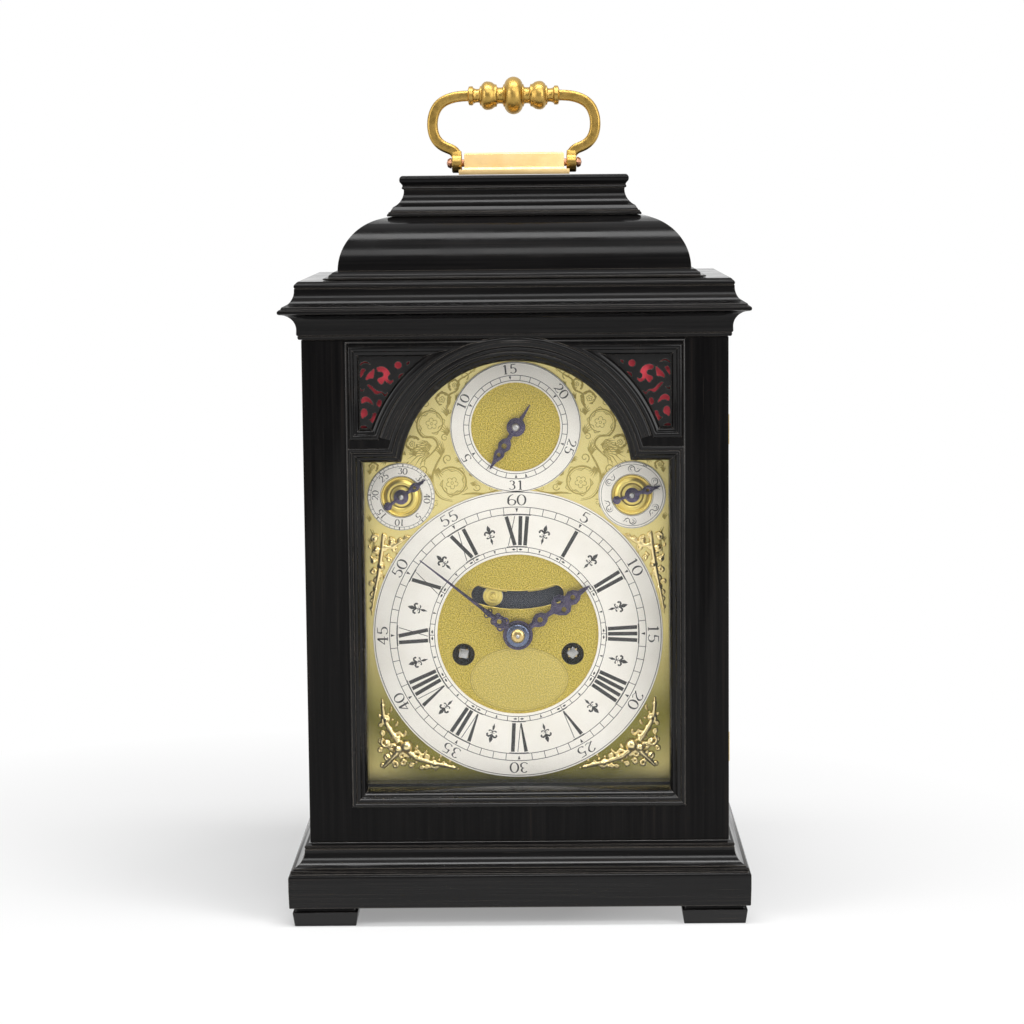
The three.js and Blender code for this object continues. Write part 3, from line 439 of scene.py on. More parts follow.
def dial_brass():
    finish = Finish("matted_brass", Metallic=1.0)

    def within(x, z, radius):
        return finish.maths("LESS_THAN", finish.reach(x, z), radius * MM)

    matted = finish.maths("MAXIMUM", within(DIAL["x"], DIAL["z"], DIAL["inner"] + 2),
                          within(DATE["x"], DATE["z"], DATE["inner"] + 2))
    bare_oval = finish.maths("LESS_THAN",
                             finish.reach(OVAL["x"], OVAL["z"], OVAL["wide"] / OVAL["tall"]),
                             OVAL["wide"] * MM)
    matted = finish.maths("SUBTRACT", matted, finish.maths("MULTIPLY", bare_oval, 0.28))
    height = finish.add("ShaderNodeSeparateXYZ", Vector=finish.coords).outputs[2]
    low = finish.maths("MULTIPLY", finish.ramp(height, (0.115, 1.0), (0.165, 0.0)),
                       finish.maths("SUBTRACT", 1.0, matted))
    punch = finish.noise(1500.0, 2, 0.8)
    cloud = finish.noise(30.0, 4, 0.6)
    dull = finish.ramp(punch, (0.42, (0.37, 0.28, 0.035)), (0.58, (0.85, 0.68, 0.15)))
    bright = finish.ramp(cloud, (0.3, (0.95, 0.79, 0.30)), (0.7, (1.0, 0.87, 0.38)))
    # Painted shade: dark olive in the lower corners close to the hour ring, lighter further out.
    painted_shade_near_ring = finish.ramp(cloud, (0.3, (0.16, 0.14, 0.02)), (0.7, (0.33, 0.29, 0.05)))
    out = finish.ramp(finish.reach(DIAL["x"], DIAL["z"]), (0.098, 0.0), (0.118, 0.8))
    corner = finish.mixed(out, painted_shade_near_ring, bright)
    colour = finish.mixed(matted, finish.mixed(low, bright, corner), dull)
    # Painted shade: the back of the plate and the walls of its holes are near black, as the inside
    # of the case is dark.
    depth = finish.add("ShaderNodeSeparateXYZ", Vector=finish.coords).outputs[1]
    behind = finish.maths("GREATER_THAN", depth, (DIAL_Y + 0.1) * MM)
    finish.set(Base_color=finish.mixed(behind, colour, (0.008, 0.006, 0.004, 1)))
    rough = finish.mixed(matted, finish.ramp(cloud, (0.3, 0.30), (0.7, 0.42)), (0.5, 0.5, 0.5, 1))
    finish.set(Roughness=rough)
    height_map = finish.mixed(matted, (0.5, 0.5, 0.5, 1), punch)
    finish.set(Normal=finish.relief(height_map, 0.12, 0.9))
    return finish.material


matted = dial_brass()
print("dial ring", DIAL["outer"] * 2, "mm across, date ring", DATE["outer"] * 2, "mm")


# %% [markdown]
# ### Glass, wood, cloth and the dark backing
# Window glass is a thin clear pane. Its gloss is what shows, so it is kept very clear and
# lets light through unchanged. Hidden boards are plain oiled wood.

# %% Glass, boards, backing and wax
def window_glass():
    finish = Finish("window_glass", Roughness=0.03, Ior=1.45, Alpha=0.02)
    smear = finish.noise(12.0, 3, 0.5)
    finish.set(Base_color=finish.ramp(smear, (0.3, (0.90, 0.94, 0.93)), (0.7, (0.97, 0.99, 0.98))))
    return finish.material


def plain_wood():
    finish = Finish("plain_wood")
    rings = finish.noise(1.0, 6, 0.6, finish.stretched((14, 260, 260)))
    finish.set(Base_color=finish.ramp(rings, (0.3, (0.16, 0.085, 0.045)),
                                      (0.7, (0.34, 0.20, 0.11))))
    finish.set(Roughness=finish.ramp(rings, (0.3, 0.55), (0.7, 0.75)))
    finish.set(Normal=finish.relief(rings, 0.08, 0.6))
    return finish.material


def dark_backing():
    finish = Finish("dark_backing")
    speck = finish.noise(700.0, 3, 0.6)
    finish.set(Base_color=finish.ramp(speck, (0.3, (0.022, 0.026, 0.038)),
                                      (0.7, (0.05, 0.055, 0.075))))
    finish.set(Roughness=finish.ramp(speck, (0.3, 0.5), (0.7, 0.75)))
    return finish.material


def ink():
    finish = Finish("black_wax")
    speck = finish.noise(900.0, 3, 0.6)
    finish.set(Base_color=finish.ramp(speck, (0.3, (0.012, 0.012, 0.012)),
                                      (0.7, (0.04, 0.038, 0.036))))
    finish.set(Roughness=finish.ramp(speck, (0.3, 0.45), (0.7, 0.7)))
    return finish.material


glass = window_glass()
board = plain_wood()
backing = dark_backing()
wax = ink()
print("glass, boards, backing and wax ready")


# %% [markdown]
# ### Silk
# The cloth is a plain weave: warp threads run one way and weft the other. Two sets of fine
# waves at right angles, multiplied, give the little squares, and a soft sheen stands for
# the light that slides over silk.

# %% Crimson silk
def silk():
    finish = Finish("crimson_silk", Sheen_weight=0.4, Sheen_roughness=0.4)
    warp = finish.add("ShaderNodeTexWave", Vector=finish.coords, Scale=900.0, Distortion=0.6)
    warp.bands_direction = "X"
    weft = finish.add("ShaderNodeTexWave", Vector=finish.coords, Scale=900.0, Distortion=0.6)
    weft.bands_direction = "Z"
    weave = finish.maths("MULTIPLY", warp.outputs["Fac"], weft.outputs["Fac"])
    cloud = finish.noise(120.0, 4, 0.6)
    tone = finish.maths("ADD", finish.maths("MULTIPLY", weave, 0.5),
                        finish.maths("MULTIPLY", cloud, 0.5))
    finish.set(Base_color=finish.ramp(tone, (0.15, (0.92, 0.04, 0.075)), (0.75, (1.0, 0.12, 0.16))))
    finish.set(Roughness=finish.ramp(cloud, (0.3, 0.5), (0.7, 0.7)))
    finish.set(Normal=finish.relief(weave, 0.05, 0.6))
    return finish.material


crimson = silk()
print("silk ready")


# %% [markdown]
# ### Every solid gets the finish of its slot
# The record says what each solid is made of, by the name of a slot. One table joins those names to
# the finishes, so no solid keeps a flat colour. The movement's front plate is hidden in shade on
# the real clock, so it gets a very dark brass, which is painted shade.

# %% Finish for each slot
finish_of_slot = {
    "ebonised_wood": ebony_upright, "plain_wood": board, "window_glass": glass,
    "crimson_silk": crimson, "brass": brass, "matted_brass": matted, "gilt_brass": gilt,
    "copper_pins": copper, "silvered_brass": silvered, "blued_steel": blued, "steel": steel,
    "dark_backing": backing, "bell_metal": bell_metal,
}
slot_of_node = {row["node"]: row["material_slot"] for row in frame["record"]["subparts"]}
for name, solid in frame["nodes"].items():
    solid.data.materials.clear()
    solid.data.materials.append(finish_of_slot[slot_of_node[name]])
# The front plate's very dark brass is painted shade.
frame["nodes"]["front_plate"].data.materials[0] = shade_dark_brass
print("solids finished:", len(slot_of_node), "with", len(finish_of_slot), "finishes")


# %% [markdown]
# ## Handing a piece over
# `dress` does the same last steps for each new piece: a clear name, smooth shading that
# keeps the crisp arrises, one material, the body it moves with, and the solids it stands
# for. `curl` and `arc` give the points of curves for all the outlines and sections below.

# %% Dress a finished piece
def dress(piece, name, body, finish, stands_for=(), angle=35):
    settle(piece)
    piece.name = piece.data.name = name
    piece.data.materials.clear()
    piece.data.materials.append(finish)
    bpy.ops.object.shade_smooth_by_angle(angle=math.radians(angle))
    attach(piece, body)
    if stands_for:
        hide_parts(*stands_for)
    print(f"{name}: {len(piece.data.polygons)} faces")
    return piece


def curl(cx, cz, rx, rz, start, end, steps=14):
    """Points on part of an oval, in mm, by degrees from the right, counter-clockwise."""
    turns = [math.radians(start + (end - start) * i / steps) for i in range(steps + 1)]
    return [(cx + rx * math.cos(a), cz + rz * math.sin(a)) for a in turns]


def arc(cx, cz, radius, start, end, steps):
    return curl(cx, cz, radius, radius, start, end, steps)


# %% [markdown]
# ## Mouldings that run round the case
# The base, the cornice, the bell top and the cap all run round the same oblong plan and
# meet in mitres. By hand this is a flat plane with its face taken out: its four edges are
# pulled up and scaled again and again, once for each point of the moulding's section. The
# case is 80 mm wider than it is deep, so every ring keeps that difference and the mitres
# come out at 45 degrees.

# %% Run a section round the case
WIDTH_LESS_DEPTH = 40.0


def run_round(section, hollow=True):
    """section: (half width, height) in mm, from the bottom up. Returns an object."""
    (w, z), rest = section[0], section[1:]
    bpy.ops.object.select_all(action="DESELECT")
    bpy.ops.mesh.primitive_plane_add(size=2 * MM, location=(0, 0, z * MM))
    piece = bpy.context.object
    piece.scale = (w, w - WIDTH_LESS_DEPTH, 1)
    settle(piece)
    with editing(piece):
        bpy.ops.mesh.select_all(action="SELECT")
        if hollow:
            bpy.ops.mesh.delete(type="ONLY_FACE")
            bpy.ops.mesh.select_all(action="SELECT")
        for w_next, z_next in rest:
            if hollow:
                bpy.ops.mesh.extrude_edges_move()
            else:
                bpy.ops.mesh.extrude_region_move()
            size = (w_next / w, (w_next - WIDTH_LESS_DEPTH) / (w - WIDTH_LESS_DEPTH), 1)
            bpy.ops.transform.resize(value=size, center_override=(0, 0, 0))
            bpy.ops.transform.translate(value=(0, 0, (z_next - z) * MM))
            w, z = w_next, z_next
    return weld(piece)


base_section = [
    (98, 10.9), (131.3, 10.9), (131.7, 11.3), (132, 21), (132, 28.6), (131.8, 29.4), (131.2, 30.0),
    (130.6, 30.2), (130.4, 30.6), (130.6, 31.1), (130.9, 31.7), (130.6, 32.5), (129.6, 33.0),
    (128.8, 33.2),
    *arc(132.6, 42.6, 9.6, 250, 184, 14), (123.0, 43.2), (122.5, 43.4), (122.4, 43.8),
    (122.9, 44.2), (123.1, 44.8), (122.9, 45.4), (122.2, 45.8), (121.2, 46.2), (120.6, 46.8),
    (98, 46.8), (98, 10.9),
]
dress(run_round(base_section), "base_moulding_run", "case", ebony_base,
      ["base_moulding"])

# %% [markdown]
# ### Cornice
# The cornice starts with a small bead on the case, swells out in a quarter round, and ends
# in a fillet and a hollow that carry the bell top.

# %% Cornice
cornice_section = [
    (100, 335.1), (121.2, 335.1), (121.7, 335.6), (121.9, 336.6), (121.6, 337.2), (122.2, 337.5),
    (122.5, 338.2),
    *arc(131.2, 340.6, 8.8, 180, 96, 14), (131.2, 349.5), (132.0, 349.9), (132.3, 350.7),
    (132.1, 351.5),
    (131.4, 352.1), (130.5, 352.4), (130.2, 352.9), (129.9, 353.6),
    *arc(133, 362.6, 9.8, 230, 184, 12),
    (123.2, 363.6), (122.8, 363.9), (123.3, 364.4), (123.4, 365.1), (123.1, 365.9), (122.4, 366.5),
    (121.8, 367.1), (121.2, 367.6), (100, 367.6), (100, 335.1),
]
dress(run_round(cornice_section), "cornice_run", "case", ebony_level, ["cornice"])

# %% [markdown]
# ### Bell top and caddy cap
# The bell top is a dome with four sides: a small step, then a bulging curve that runs in
# under the cap. It is hollow, so its section turns back down inside. The cap is solid, with
# a hollow in its side and a small moulding round its top.

# %% Bell top and cap
bell_section = [
    (92, 367.9), (107.9, 367.9), (108.1, 368.1), (108.1, 368.6), (107.6, 368.8), (105.6, 368.9),
    (105.2, 369.3),
    (105.1, 370.0), (104.6, 370.7), (103.6, 371.2), (103.0, 371.8), (102.2, 372.2), (101.2, 372.4),
    *arc(70.6, 372.6, 29.6, 0, 86, 28), (71.5, 402.4), (71, 402.5), (60, 402.5), (60, 395),
    (66, 395), (78, 392.5), (88, 384), (92, 373), (92, 367.9),
]
dress(run_round(bell_section), "bell_top_shell", "case", ebony_level, ["bell_top"])

cap_section = [
    (73.0, 402.8), (73.2, 403.2), (73.1, 403.9), (72.6, 404.4), (72.3, 404.7), (72.3, 405.2),
    (71.4, 405.5),
    *arc(73.9, 417.4, 10.2, 246, 182, 14), (63.8, 418.0), (64.6, 418.3), (64.9, 418.9),
    (64.7, 419.5), (64.4, 419.9),
    (64.6, 420.6), (65.2, 421.4), (65.9, 422.2), (66.2, 423.2), (66.1, 424.4), (65.6, 425.3),
    (64.6, 425.9),
]
dress(run_round(cap_section, hollow=False), "caddy_cap_block", "case", ebony_level,
      ["caddy_cap"])

# %% [markdown]
# ## Block feet
# Each foot is a square block with a rounded edge, set back a little under the plinth and
# slightly narrower at the floor. A cube is enough to start from: its bottom face is drawn
# in, its top is inset for the neck, and a bevel softens what hands and floors have worn.
# It is modelled once, and the other three are copies with their own meshes.

# %% Four feet
FOOT = {"reach": 111.35, "size": 37.5, "block": 8.3, "height": 10.6, "drawn_in": 0.936}


def block_foot():
    size, tall = FOOT["size"], FOOT["block"]
    foot = block((size, size, tall), (0, 0, tall / 2))
    with editing(foot):
        pick("FACE", lambda middle, face: middle.z < 0.1 * MM)
        bpy.ops.transform.resize(value=(FOOT["drawn_in"], FOOT["drawn_in"], 1),
                                 center_override=(0, 0, 0))
        pick("FACE", lambda middle, face: middle.z > (tall - 0.1) * MM)
        bpy.ops.mesh.inset(thickness=2 * MM)
        bpy.ops.mesh.extrude_region_move()
        bpy.ops.transform.translate(value=(0, 0, (FOOT["height"] - tall) * MM))
    modify(foot, "BEVEL", width=0.5 * MM, segments=3, limit_method="ANGLE")
    return foot


first_foot = block_foot()
for end, side_y in (("front", -1), ("rear", 1)):
    for hand, side_x in (("left", -1), ("right", 1)):
        foot = twin_of(first_foot)
        foot.location = (side_x * FOOT["reach"] * MM,
                         side_y * (FOOT["reach"] - WIDTH_LESS_DEPTH) * MM, 0)
        dress(foot, f"block_foot_{end}_{hand}", "case", ebony_feet,
              [f"foot_{end}_{hand}"])
bpy.data.objects.remove(first_foot)
print("feet stand", FOOT["height"], "mm high")


# %% [markdown]
# ## The front door
# The door fills the whole front. Its mouldings step down to an arched opening, and beside
# the arch are two corner openings for the frets. A moulding plane follows the outline at an
# even distance and changes depth. So each opening starts as one flat face of the right
# outline, and is inset and drawn in once for each point of the section.

# %% Outlines of the openings, as faces
DOOR = {"front": -80.0, "back": -60.0, "low": 47.1, "high": 334.8, "half": 120.0}
SIGHT = {"half": 87.0, "bottom": 75.2, "shoulder": 265.0, "arch_z": 256.2, "arch_r": 65.6}
CORNER = {"side": 88.0, "top": 325.0, "bottom": 284.0, "arch_z": 255.0, "arch_r": 86.6}


def drawn_face(points, y):
    """One flat face in the plane of the dial from (x, z) points in mm, seen from the front."""
    bpy.ops.object.select_all(action="DESELECT")
    bpy.ops.mesh.primitive_plane_add(size=1 * MM,
                                     location=(points[0][0] * MM, y * MM, points[0][1] * MM))
    piece = settle(bpy.context.object)
    with editing(piece):
        bpy.ops.mesh.select_mode(type="VERT")
        bpy.ops.mesh.select_all(action="SELECT")
        bpy.ops.mesh.merge(type="CENTER")
        x, z = points[0]
        for x_next, z_next in [*points[1:], points[0]]:
            bpy.ops.mesh.extrude_vertices_move()
            bpy.ops.transform.translate(value=((x_next - x) * MM, 0, (z_next - z) * MM))
            x, z = x_next, z_next
        bpy.ops.mesh.select_all(action="SELECT")
        bpy.ops.mesh.remove_doubles(threshold=0.001 * MM)
        bpy.ops.mesh.edge_face_add()
        bpy.ops.mesh.select_mode(type="FACE")
        bpy.ops.mesh.select_all(action="SELECT")
        mesh = bmesh.from_edit_mesh(piece.data)
        mesh.faces.ensure_lookup_table()
        mesh.faces[0].normal_update()
        if mesh.faces[0].normal.y > 0:
            bpy.ops.mesh.flip_normals()
    return piece


print("a face drawn from points, for plates and openings")

# %% [markdown]
# ### The openings' outlines
# The arched opening is two straight sides, two shoulders and part of a circle. A corner
# opening has two straight sides and a curve that follows the arch. `grow` moves the whole
# outline outwards by that many mm, which is what a moulding needs.

# %% Arched and corner outlines
def arched_outline(grow, opening=SIGHT, steps=72):
    radius = opening["arch_r"] + grow
    shoulder = opening["shoulder"] + grow
    side, bottom = opening["half"] + grow, opening["bottom"] - grow
    spring = math.degrees(math.asin((shoulder - opening["arch_z"]) / radius))
    head = arc(0, opening["arch_z"], radius, spring, 180 - spring, steps)
    return [(-side, bottom), (side, bottom), (side, shoulder), *head, (-side, shoulder)]


def corner_outline(grow, steps=36):
    radius = CORNER["arch_r"] - grow

    def angle_at(z):
        return 180 - math.degrees(math.asin((z - CORNER["arch_z"]) / radius))

    left = -CORNER["side"] - grow
    low, high = CORNER["bottom"] - grow, CORNER["top"] + grow
    curve = arc(0, CORNER["arch_z"], radius, angle_at(low), angle_at(high), steps)
    return [(left, low), *curve, (left, high)]


print("corner outline:", len(corner_outline(0)), "points")

# %% [markdown]
# ### Mouldings, solids and cuts from an outline
# A moulding is inset from the outline once for each point of its section. A solid is the
# outlined face pulled through, and such a solid can also be the cutter for a hole.

# %% Moulding, solid, mirror and cut
def sunk_moulding(outline_at, wide, front, section, reveal=None):
    """Insets the outlined face once for each (inward, y) point and draws the new face in to
    the outline's own inner shape, so that mitres stay true; the opening goes through."""
    points = outline_at(wide)
    piece = drawn_face(points, front)
    steps = list(section)
    if reveal is not None:
        steps.append((section[-1][0], reveal))
    with editing(piece):
        bpy.ops.mesh.select_mode(type="FACE")
        bpy.ops.mesh.select_all(action="SELECT")
        for inward, y in steps:
            bpy.ops.mesh.inset(thickness=0.002 * MM)
            target = outline_at(wide - inward)
            mesh = bmesh.from_edit_mesh(piece.data)
            for vert in [v for v in mesh.verts if v.select]:
                x, z = vert.co.x / MM, vert.co.z / MM
                apart = [math.hypot(x - px, z - pz) for px, pz in points]
                nearest = apart.index(min(apart))
                vert.co = (target[nearest][0] * MM, y * MM, target[nearest][1] * MM)
            bmesh.update_edit_mesh(piece.data)
            points = target
        bpy.ops.mesh.delete(type="FACE")
    return piece


def solid_from(outline, front, back):
    piece = drawn_face(outline, front)
    with editing(piece):
        bpy.ops.mesh.select_mode(type="FACE")
        bpy.ops.mesh.select_all(action="SELECT")
        bpy.ops.mesh.extrude_region_move()
        bpy.ops.transform.translate(value=(0, (back - front) * MM, 0))
        bpy.ops.mesh.select_all(action="SELECT")
        bpy.ops.mesh.normals_make_consistent(inside=False)
    return piece


def mirror_copy(piece):
    twin = twin_of(piece)
    twin.scale = (-1, 1, 1)
    settle(twin)
    with editing(twin):
        bpy.ops.mesh.select_all(action="SELECT")
        bpy.ops.mesh.normals_make_consistent(inside=False)
    return twin


def cut_away(piece, *cutters):
    for cutter in cutters:
        modify(piece, "BOOLEAN", object=cutter, operation="DIFFERENCE", solver="EXACT")
        bpy.data.objects.remove(cutter)


print("sight opening", 2 * SIGHT["half"], "mm wide; arch radius", SIGHT["arch_r"], "mm")

# %% [markdown]
# ### The door's slab
# The stiles and rails have no joints to be seen under the black, so they are one slab with
# its edges eased. The openings are cut a hair smaller than the mouldings are wide, so that
# the mouldings cover the sawn edge. Two rooms behind take the hinges.

# %% The slab, with its openings cut
sight_wide, corner_wide = 8.4, 5.8
slab = block((2 * DOOR["half"], DOOR["back"] - DOOR["front"], DOOR["high"] - DOOR["low"]),
             (0, (DOOR["back"] + DOOR["front"]) / 2, (DOOR["low"] + DOOR["high"]) / 2))
modify(slab, "BEVEL", width=0.35 * MM, segments=2, limit_method="ANGLE")
through = (DOOR["front"] - 4, DOOR["back"] + 4)
corner_hole = solid_from(corner_outline(corner_wide - 0.1), *through)
sight_hole = solid_from(arched_outline(sight_wide - 0.1), *through)
cut_away(slab, sight_hole, mirror_copy(corner_hole), corner_hole)
HINGE_HEIGHTS = (280.8, 97.0)
cut_away(slab, *[block((15.4, 3, 17.6), (117.4, -59.9, height)) for height in HINGE_HEIGHTS])
print("slab with its openings:", len(slab.data.polygons), "faces")

# %% [markdown]
# ### The door's mouldings
# Three mouldings are stuck on the front: one round the arched opening, one round each corner
# opening, and a thin bead round them all. Each section is a list of points, how far inwards
# and how deep. They end in the reveal, the plain wall that goes back through the door.

# %% Mouldings round the openings
sight_section = [
    (0.15, -80.5), (0.5, -80.9), (1.0, -81.1), (1.6, -81.05), (2.1, -80.7), (2.4, -80.2),
    (2.6, -79.7), (2.9, -79.6),
    (3.3, -79.9), (3.8, -79.95), (4.4, -79.6), (5.0, -78.9), (5.4, -78.2), (5.6, -77.7),
    (5.9, -77.5), (6.4, -77.5),
    (6.9, -77.1), (7.6, -76.2), (8.1, -75.4), (8.4, -75.0),
]
sight_run = sunk_moulding(arched_outline, sight_wide, DOOR["front"], sight_section,
                          reveal=DOOR["back"])
corner_section = [
    (0.15, -80.5), (0.5, -80.9), (1.1, -81.1), (1.8, -81.0), (2.4, -80.6), (2.8, -80.0),
    (3.1, -79.4), (3.4, -79.2),
    (4.2, -79.1), (4.8, -78.6), (5.4, -77.8), (5.8, -77.4),
]
corner_run = sunk_moulding(corner_outline, corner_wide, DOOR["front"], corner_section,
                           reveal=DOOR["back"])
rim_section = [(0.1, -80.5), (0.4, -80.9), (0.8, -81.1), (1.2, -80.9), (1.5, -80.5), (1.6, -80.0)]


def rim_outline(grow):
    side, low, high = 94.2 + grow, 68.9 - grow, 332.4 + grow
    return [(-side, low), (side, low), (side, high), (-side, high)]


rim_run = sunk_moulding(rim_outline, 1.6, DOOR["front"], rim_section)
print("mouldings round the arch, the corners and the rim")


# %% [markdown]
# ### The band round the arch
# Over the arch runs one more band. It is round work, so its section is spun about the
# arch's centre through the part of a turn that the arch takes up. The same helper later
# turns rings, roses, pins and the handle's baluster.

# %% Spinning a section, and the band
def spun(section, x, z, start=0.0, sweep=360.0, steps=128):
    """Turns a section of (radius, y) points, in mm, about a level axis at x, z."""
    r0, y0 = section[0]
    begin = math.radians(start)
    bpy.ops.object.select_all(action="DESELECT")
    place = ((x + r0 * math.cos(begin)) * MM, y0 * MM, (z + r0 * math.sin(begin)) * MM)
    bpy.ops.mesh.primitive_plane_add(size=1 * MM, location=place)
    piece = settle(bpy.context.object)
    with editing(piece):
        bpy.ops.mesh.select_mode(type="VERT")
        bpy.ops.mesh.select_all(action="SELECT")
        bpy.ops.mesh.merge(type="CENTER")
        for r1, y1 in section[1:]:
            bpy.ops.mesh.extrude_vertices_move()
            step = ((r1 - r0) * math.cos(begin), y1 - y0, (r1 - r0) * math.sin(begin))
            bpy.ops.transform.translate(value=[s * MM for s in step])
            r0, y0 = r1, y1
        bpy.ops.mesh.select_all(action="SELECT")
        bpy.ops.mesh.spin(steps=steps, angle=math.radians(sweep), center=(x * MM, 0, z * MM),
                          axis=(0, 1, 0))
        bpy.ops.mesh.select_all(action="SELECT")
        bpy.ops.mesh.remove_doubles(threshold=0.002 * MM)
        bpy.ops.mesh.normals_make_consistent(inside=False)
    return piece


band_section = [
    (74.2, -79.8), (74.3, -80.15), (76.6, -80.25), (77.0, -80.7), (77.6, -81.05), (78.6, -81.1),
    (79.3, -80.7), (79.6, -80.3),
    (80.0, -80.3), (80.2, -79.8),
]
BAND_START, BAND_SWEEP = 17, 146
arch_band = spun(band_section, 0, SIGHT["arch_z"], BAND_START, BAND_SWEEP, 96)
dress(slab, "front_door_boards", "front_door", ebony_upright, ["front_door_frame"],
      angle=40)
mouldings = joined(sight_run, corner_run, mirror_copy(corner_run), rim_run, arch_band)
dress(mouldings, "front_door_mouldings", "front_door", ebony_moulded, angle=40)


# %% [markdown]
# ## Pierced frets
# Each corner opening holds a thin board pierced with a fretsaw: scrolls, leaves and a drop,
# with bars of wood left between them. An opening is drawn as a rough outline, in mm across
# and down from the corner, and its corners are cut twice so that it turns as smoothly as a
# saw does. Each becomes a cutter that goes right through the board.

# %% Two frets
FRET = {"front": -75.2, "back": -72.8}
SAWN = [
    [(0.4, 4.7), (1.3, 3.6), (2.7, 2.8), (4.7, 2.9), (6.9, 4.7), (5.2, 4.0), (3.6, 3.6), (2.2, 3.9),
     (0.8, 5.2)],
    [(0.5, 11.8), (0.6, 8.6), (1.8, 6.6), (3.9, 7.2), (3.1, 8.6), (2.0, 10.4), (1.1, 11.8)],
    [(3.6, 12.9), (3.9, 11.5), (5.4, 9.5), (7.2, 7.9), (8.6, 6.6), (8.7, 8.6), (8.3, 10.8),
     (8.1, 12.4), (6.5, 12.4), (5.0, 12.7), (4.3, 13.6)],
    [(9.6, 6.6), (11.1, 5.8), (12.9, 5.6), (15.1, 6.3), (16.7, 7.9), (17.6, 9.7), (17.3, 10.4),
     (16.3, 11.1), (16.2, 12.4), (16.8, 13.6), (17.9, 13.9), (19.2, 13.0), (19.3, 14.0),
     (18.4, 15.1), (17.3, 15.8), (16.1, 15.1), (15.0, 14.3), (14.4, 13.4), (13.9, 14.4),
     (13.2, 15.6), (12.2, 16.0), (11.1, 14.9), (10.2, 13.5), (10.6, 12.5), (12.0, 11.9),
     (13.5, 11.5), (13.9, 10.4), (13.6, 9.3), (12.5, 8.6), (11.3, 8.6), (10.6, 8.5)],
    [(27.5, 3.1), (28.8, 3.0), (28.4, 4.3), (26.9, 5.3), (26.7, 3.9)],
    [(22.1, 10.9), (23.3, 10.1), (25.4, 9.4), (24.4, 10.6), (23.0, 12.2), (22.1, 12.7)],
    [(4.1, 15.8), (6.1, 15.8), (7.9, 17.6), (10.1, 19.7), (12.4, 19.8), (13.6, 20.6), (14.4, 21.7),
     (15.3, 21.0), (16.1, 20.2), (15.8, 21.2), (14.5, 23.0), (13.8, 22.1), (12.9, 20.9),
     (11.8, 20.5), (9.7, 21.6), (8.6, 21.0), (7.2, 19.2), (5.4, 17.4)],
    [(0.5, 17.7), (0.9, 18.5), (1.8, 19.0), (3.3, 17.9), (2.6, 19.2), (1.4, 20.0), (0.5, 19.5)],
    [(0.9, 24.1), (2.2, 22.8), (3.9, 22.5), (5.7, 23.5), (7.0, 25.3), (8.0, 27.5), (6.6, 26.9),
     (5.0, 25.7), (3.2, 25.5), (1.8, 26.6), (0.9, 26.2)],
    [(10.1, 25.3), (11.1, 24.2), (12.7, 25.1), (12.4, 26.9), (11.5, 28.8), (10.1, 28.0),
     (9.6, 26.9)],
    [(0.8, 30.9), (1.4, 29.6), (2.7, 29.2), (4.1, 30.0), (4.7, 32.0), (4.3, 33.2), (2.5, 34.5),
     (1.1, 35.3), (0.6, 33.0)],
    [(7.4, 31.9), (9.8, 31.9), (9.0, 34.1), (7.9, 36.4), (7.4, 37.9), (6.1, 36.6), (4.8, 35.6),
     (6.5, 35.3), (7.2, 33.7)],
    [(0.3, 39.5), (1.4, 39.0), (3.2, 39.1), (4.8, 40.6), (0.5, 40.6)],
]


def eased(points):
    """Cuts every corner twice, so that the outline turns smoothly."""
    for _ in range(2):
        corners = []
        for (x0, z0), (x1, z1) in zip(points, [*points[1:], points[0]]):
            corners += [(x0 * 0.75 + x1 * 0.25, z0 * 0.75 + z1 * 0.25),
                        (x0 * 0.25 + x1 * 0.75, z0 * 0.25 + z1 * 0.75)]
        points = corners
    return points


def pierced_fret():
    plate = solid_from(corner_outline(1.2), FRET["front"], FRET["back"])
    left, top = -CORNER["side"], CORNER["top"]
    openings = [[(left + x, top - z) for x, z in eased(line)] for line in SAWN]
    openings.append(arc(left + 22.1, top - 5.0, 2.0, 0, 350, 28))
    for points in openings:
        cut_away(plate, solid_from(points, FRET["front"] - 1, FRET["back"] + 1))
    return plate


left_fret = pierced_fret()
right_fret = mirror_copy(left_fret)
for side, piece in (("left", left_fret), ("right", right_fret)):
    modify(piece, "BEVEL", width=0.14 * MM, segments=1, limit_method="ANGLE",
           angle_limit=math.radians(50))
    dress(piece, f"fret_{side}_sawn", "front_door", ebony_fret, [f"fret_{side}"],
          angle=30)


# %% [markdown]
# ## Silk behind the frets
# Thin crimson silk is stretched flat behind each fret and glued round its edge. It is one
# sheet, cut to the shape of the corner and a little wider than the opening. It is taut, so
# it holds no folds, only a slight rise and fall: the face is divided finely and displaced
# by a quarter of a millimetre.

# %% Two stretched silks
SILK_Y = -72.5
GLUED_MARGIN = 2.2


def stretched_silk():
    piece = drawn_face(corner_outline(GLUED_MARGIN), SILK_Y)
    with editing(piece):
        bpy.ops.mesh.select_all(action="SELECT")
        bpy.ops.mesh.quads_convert_to_tris()
        bpy.ops.mesh.subdivide(number_cuts=6)
    ripple = bpy.data.textures.new("slack", "CLOUDS")
    ripple.noise_scale = 6 * MM
    modify(piece, "DISPLACE", texture=ripple, strength=0.25 * MM, mid_level=0.5, direction="Y",
           texture_coords="GLOBAL")
    return piece


left_silk = stretched_silk()
right_silk = mirror_copy(left_silk)
for side, piece in (("left", left_silk), ("right", right_silk)):
    dress(piece, f"silk_sheet_{side}", "front_door", crimson, [f"silk_{side}"])


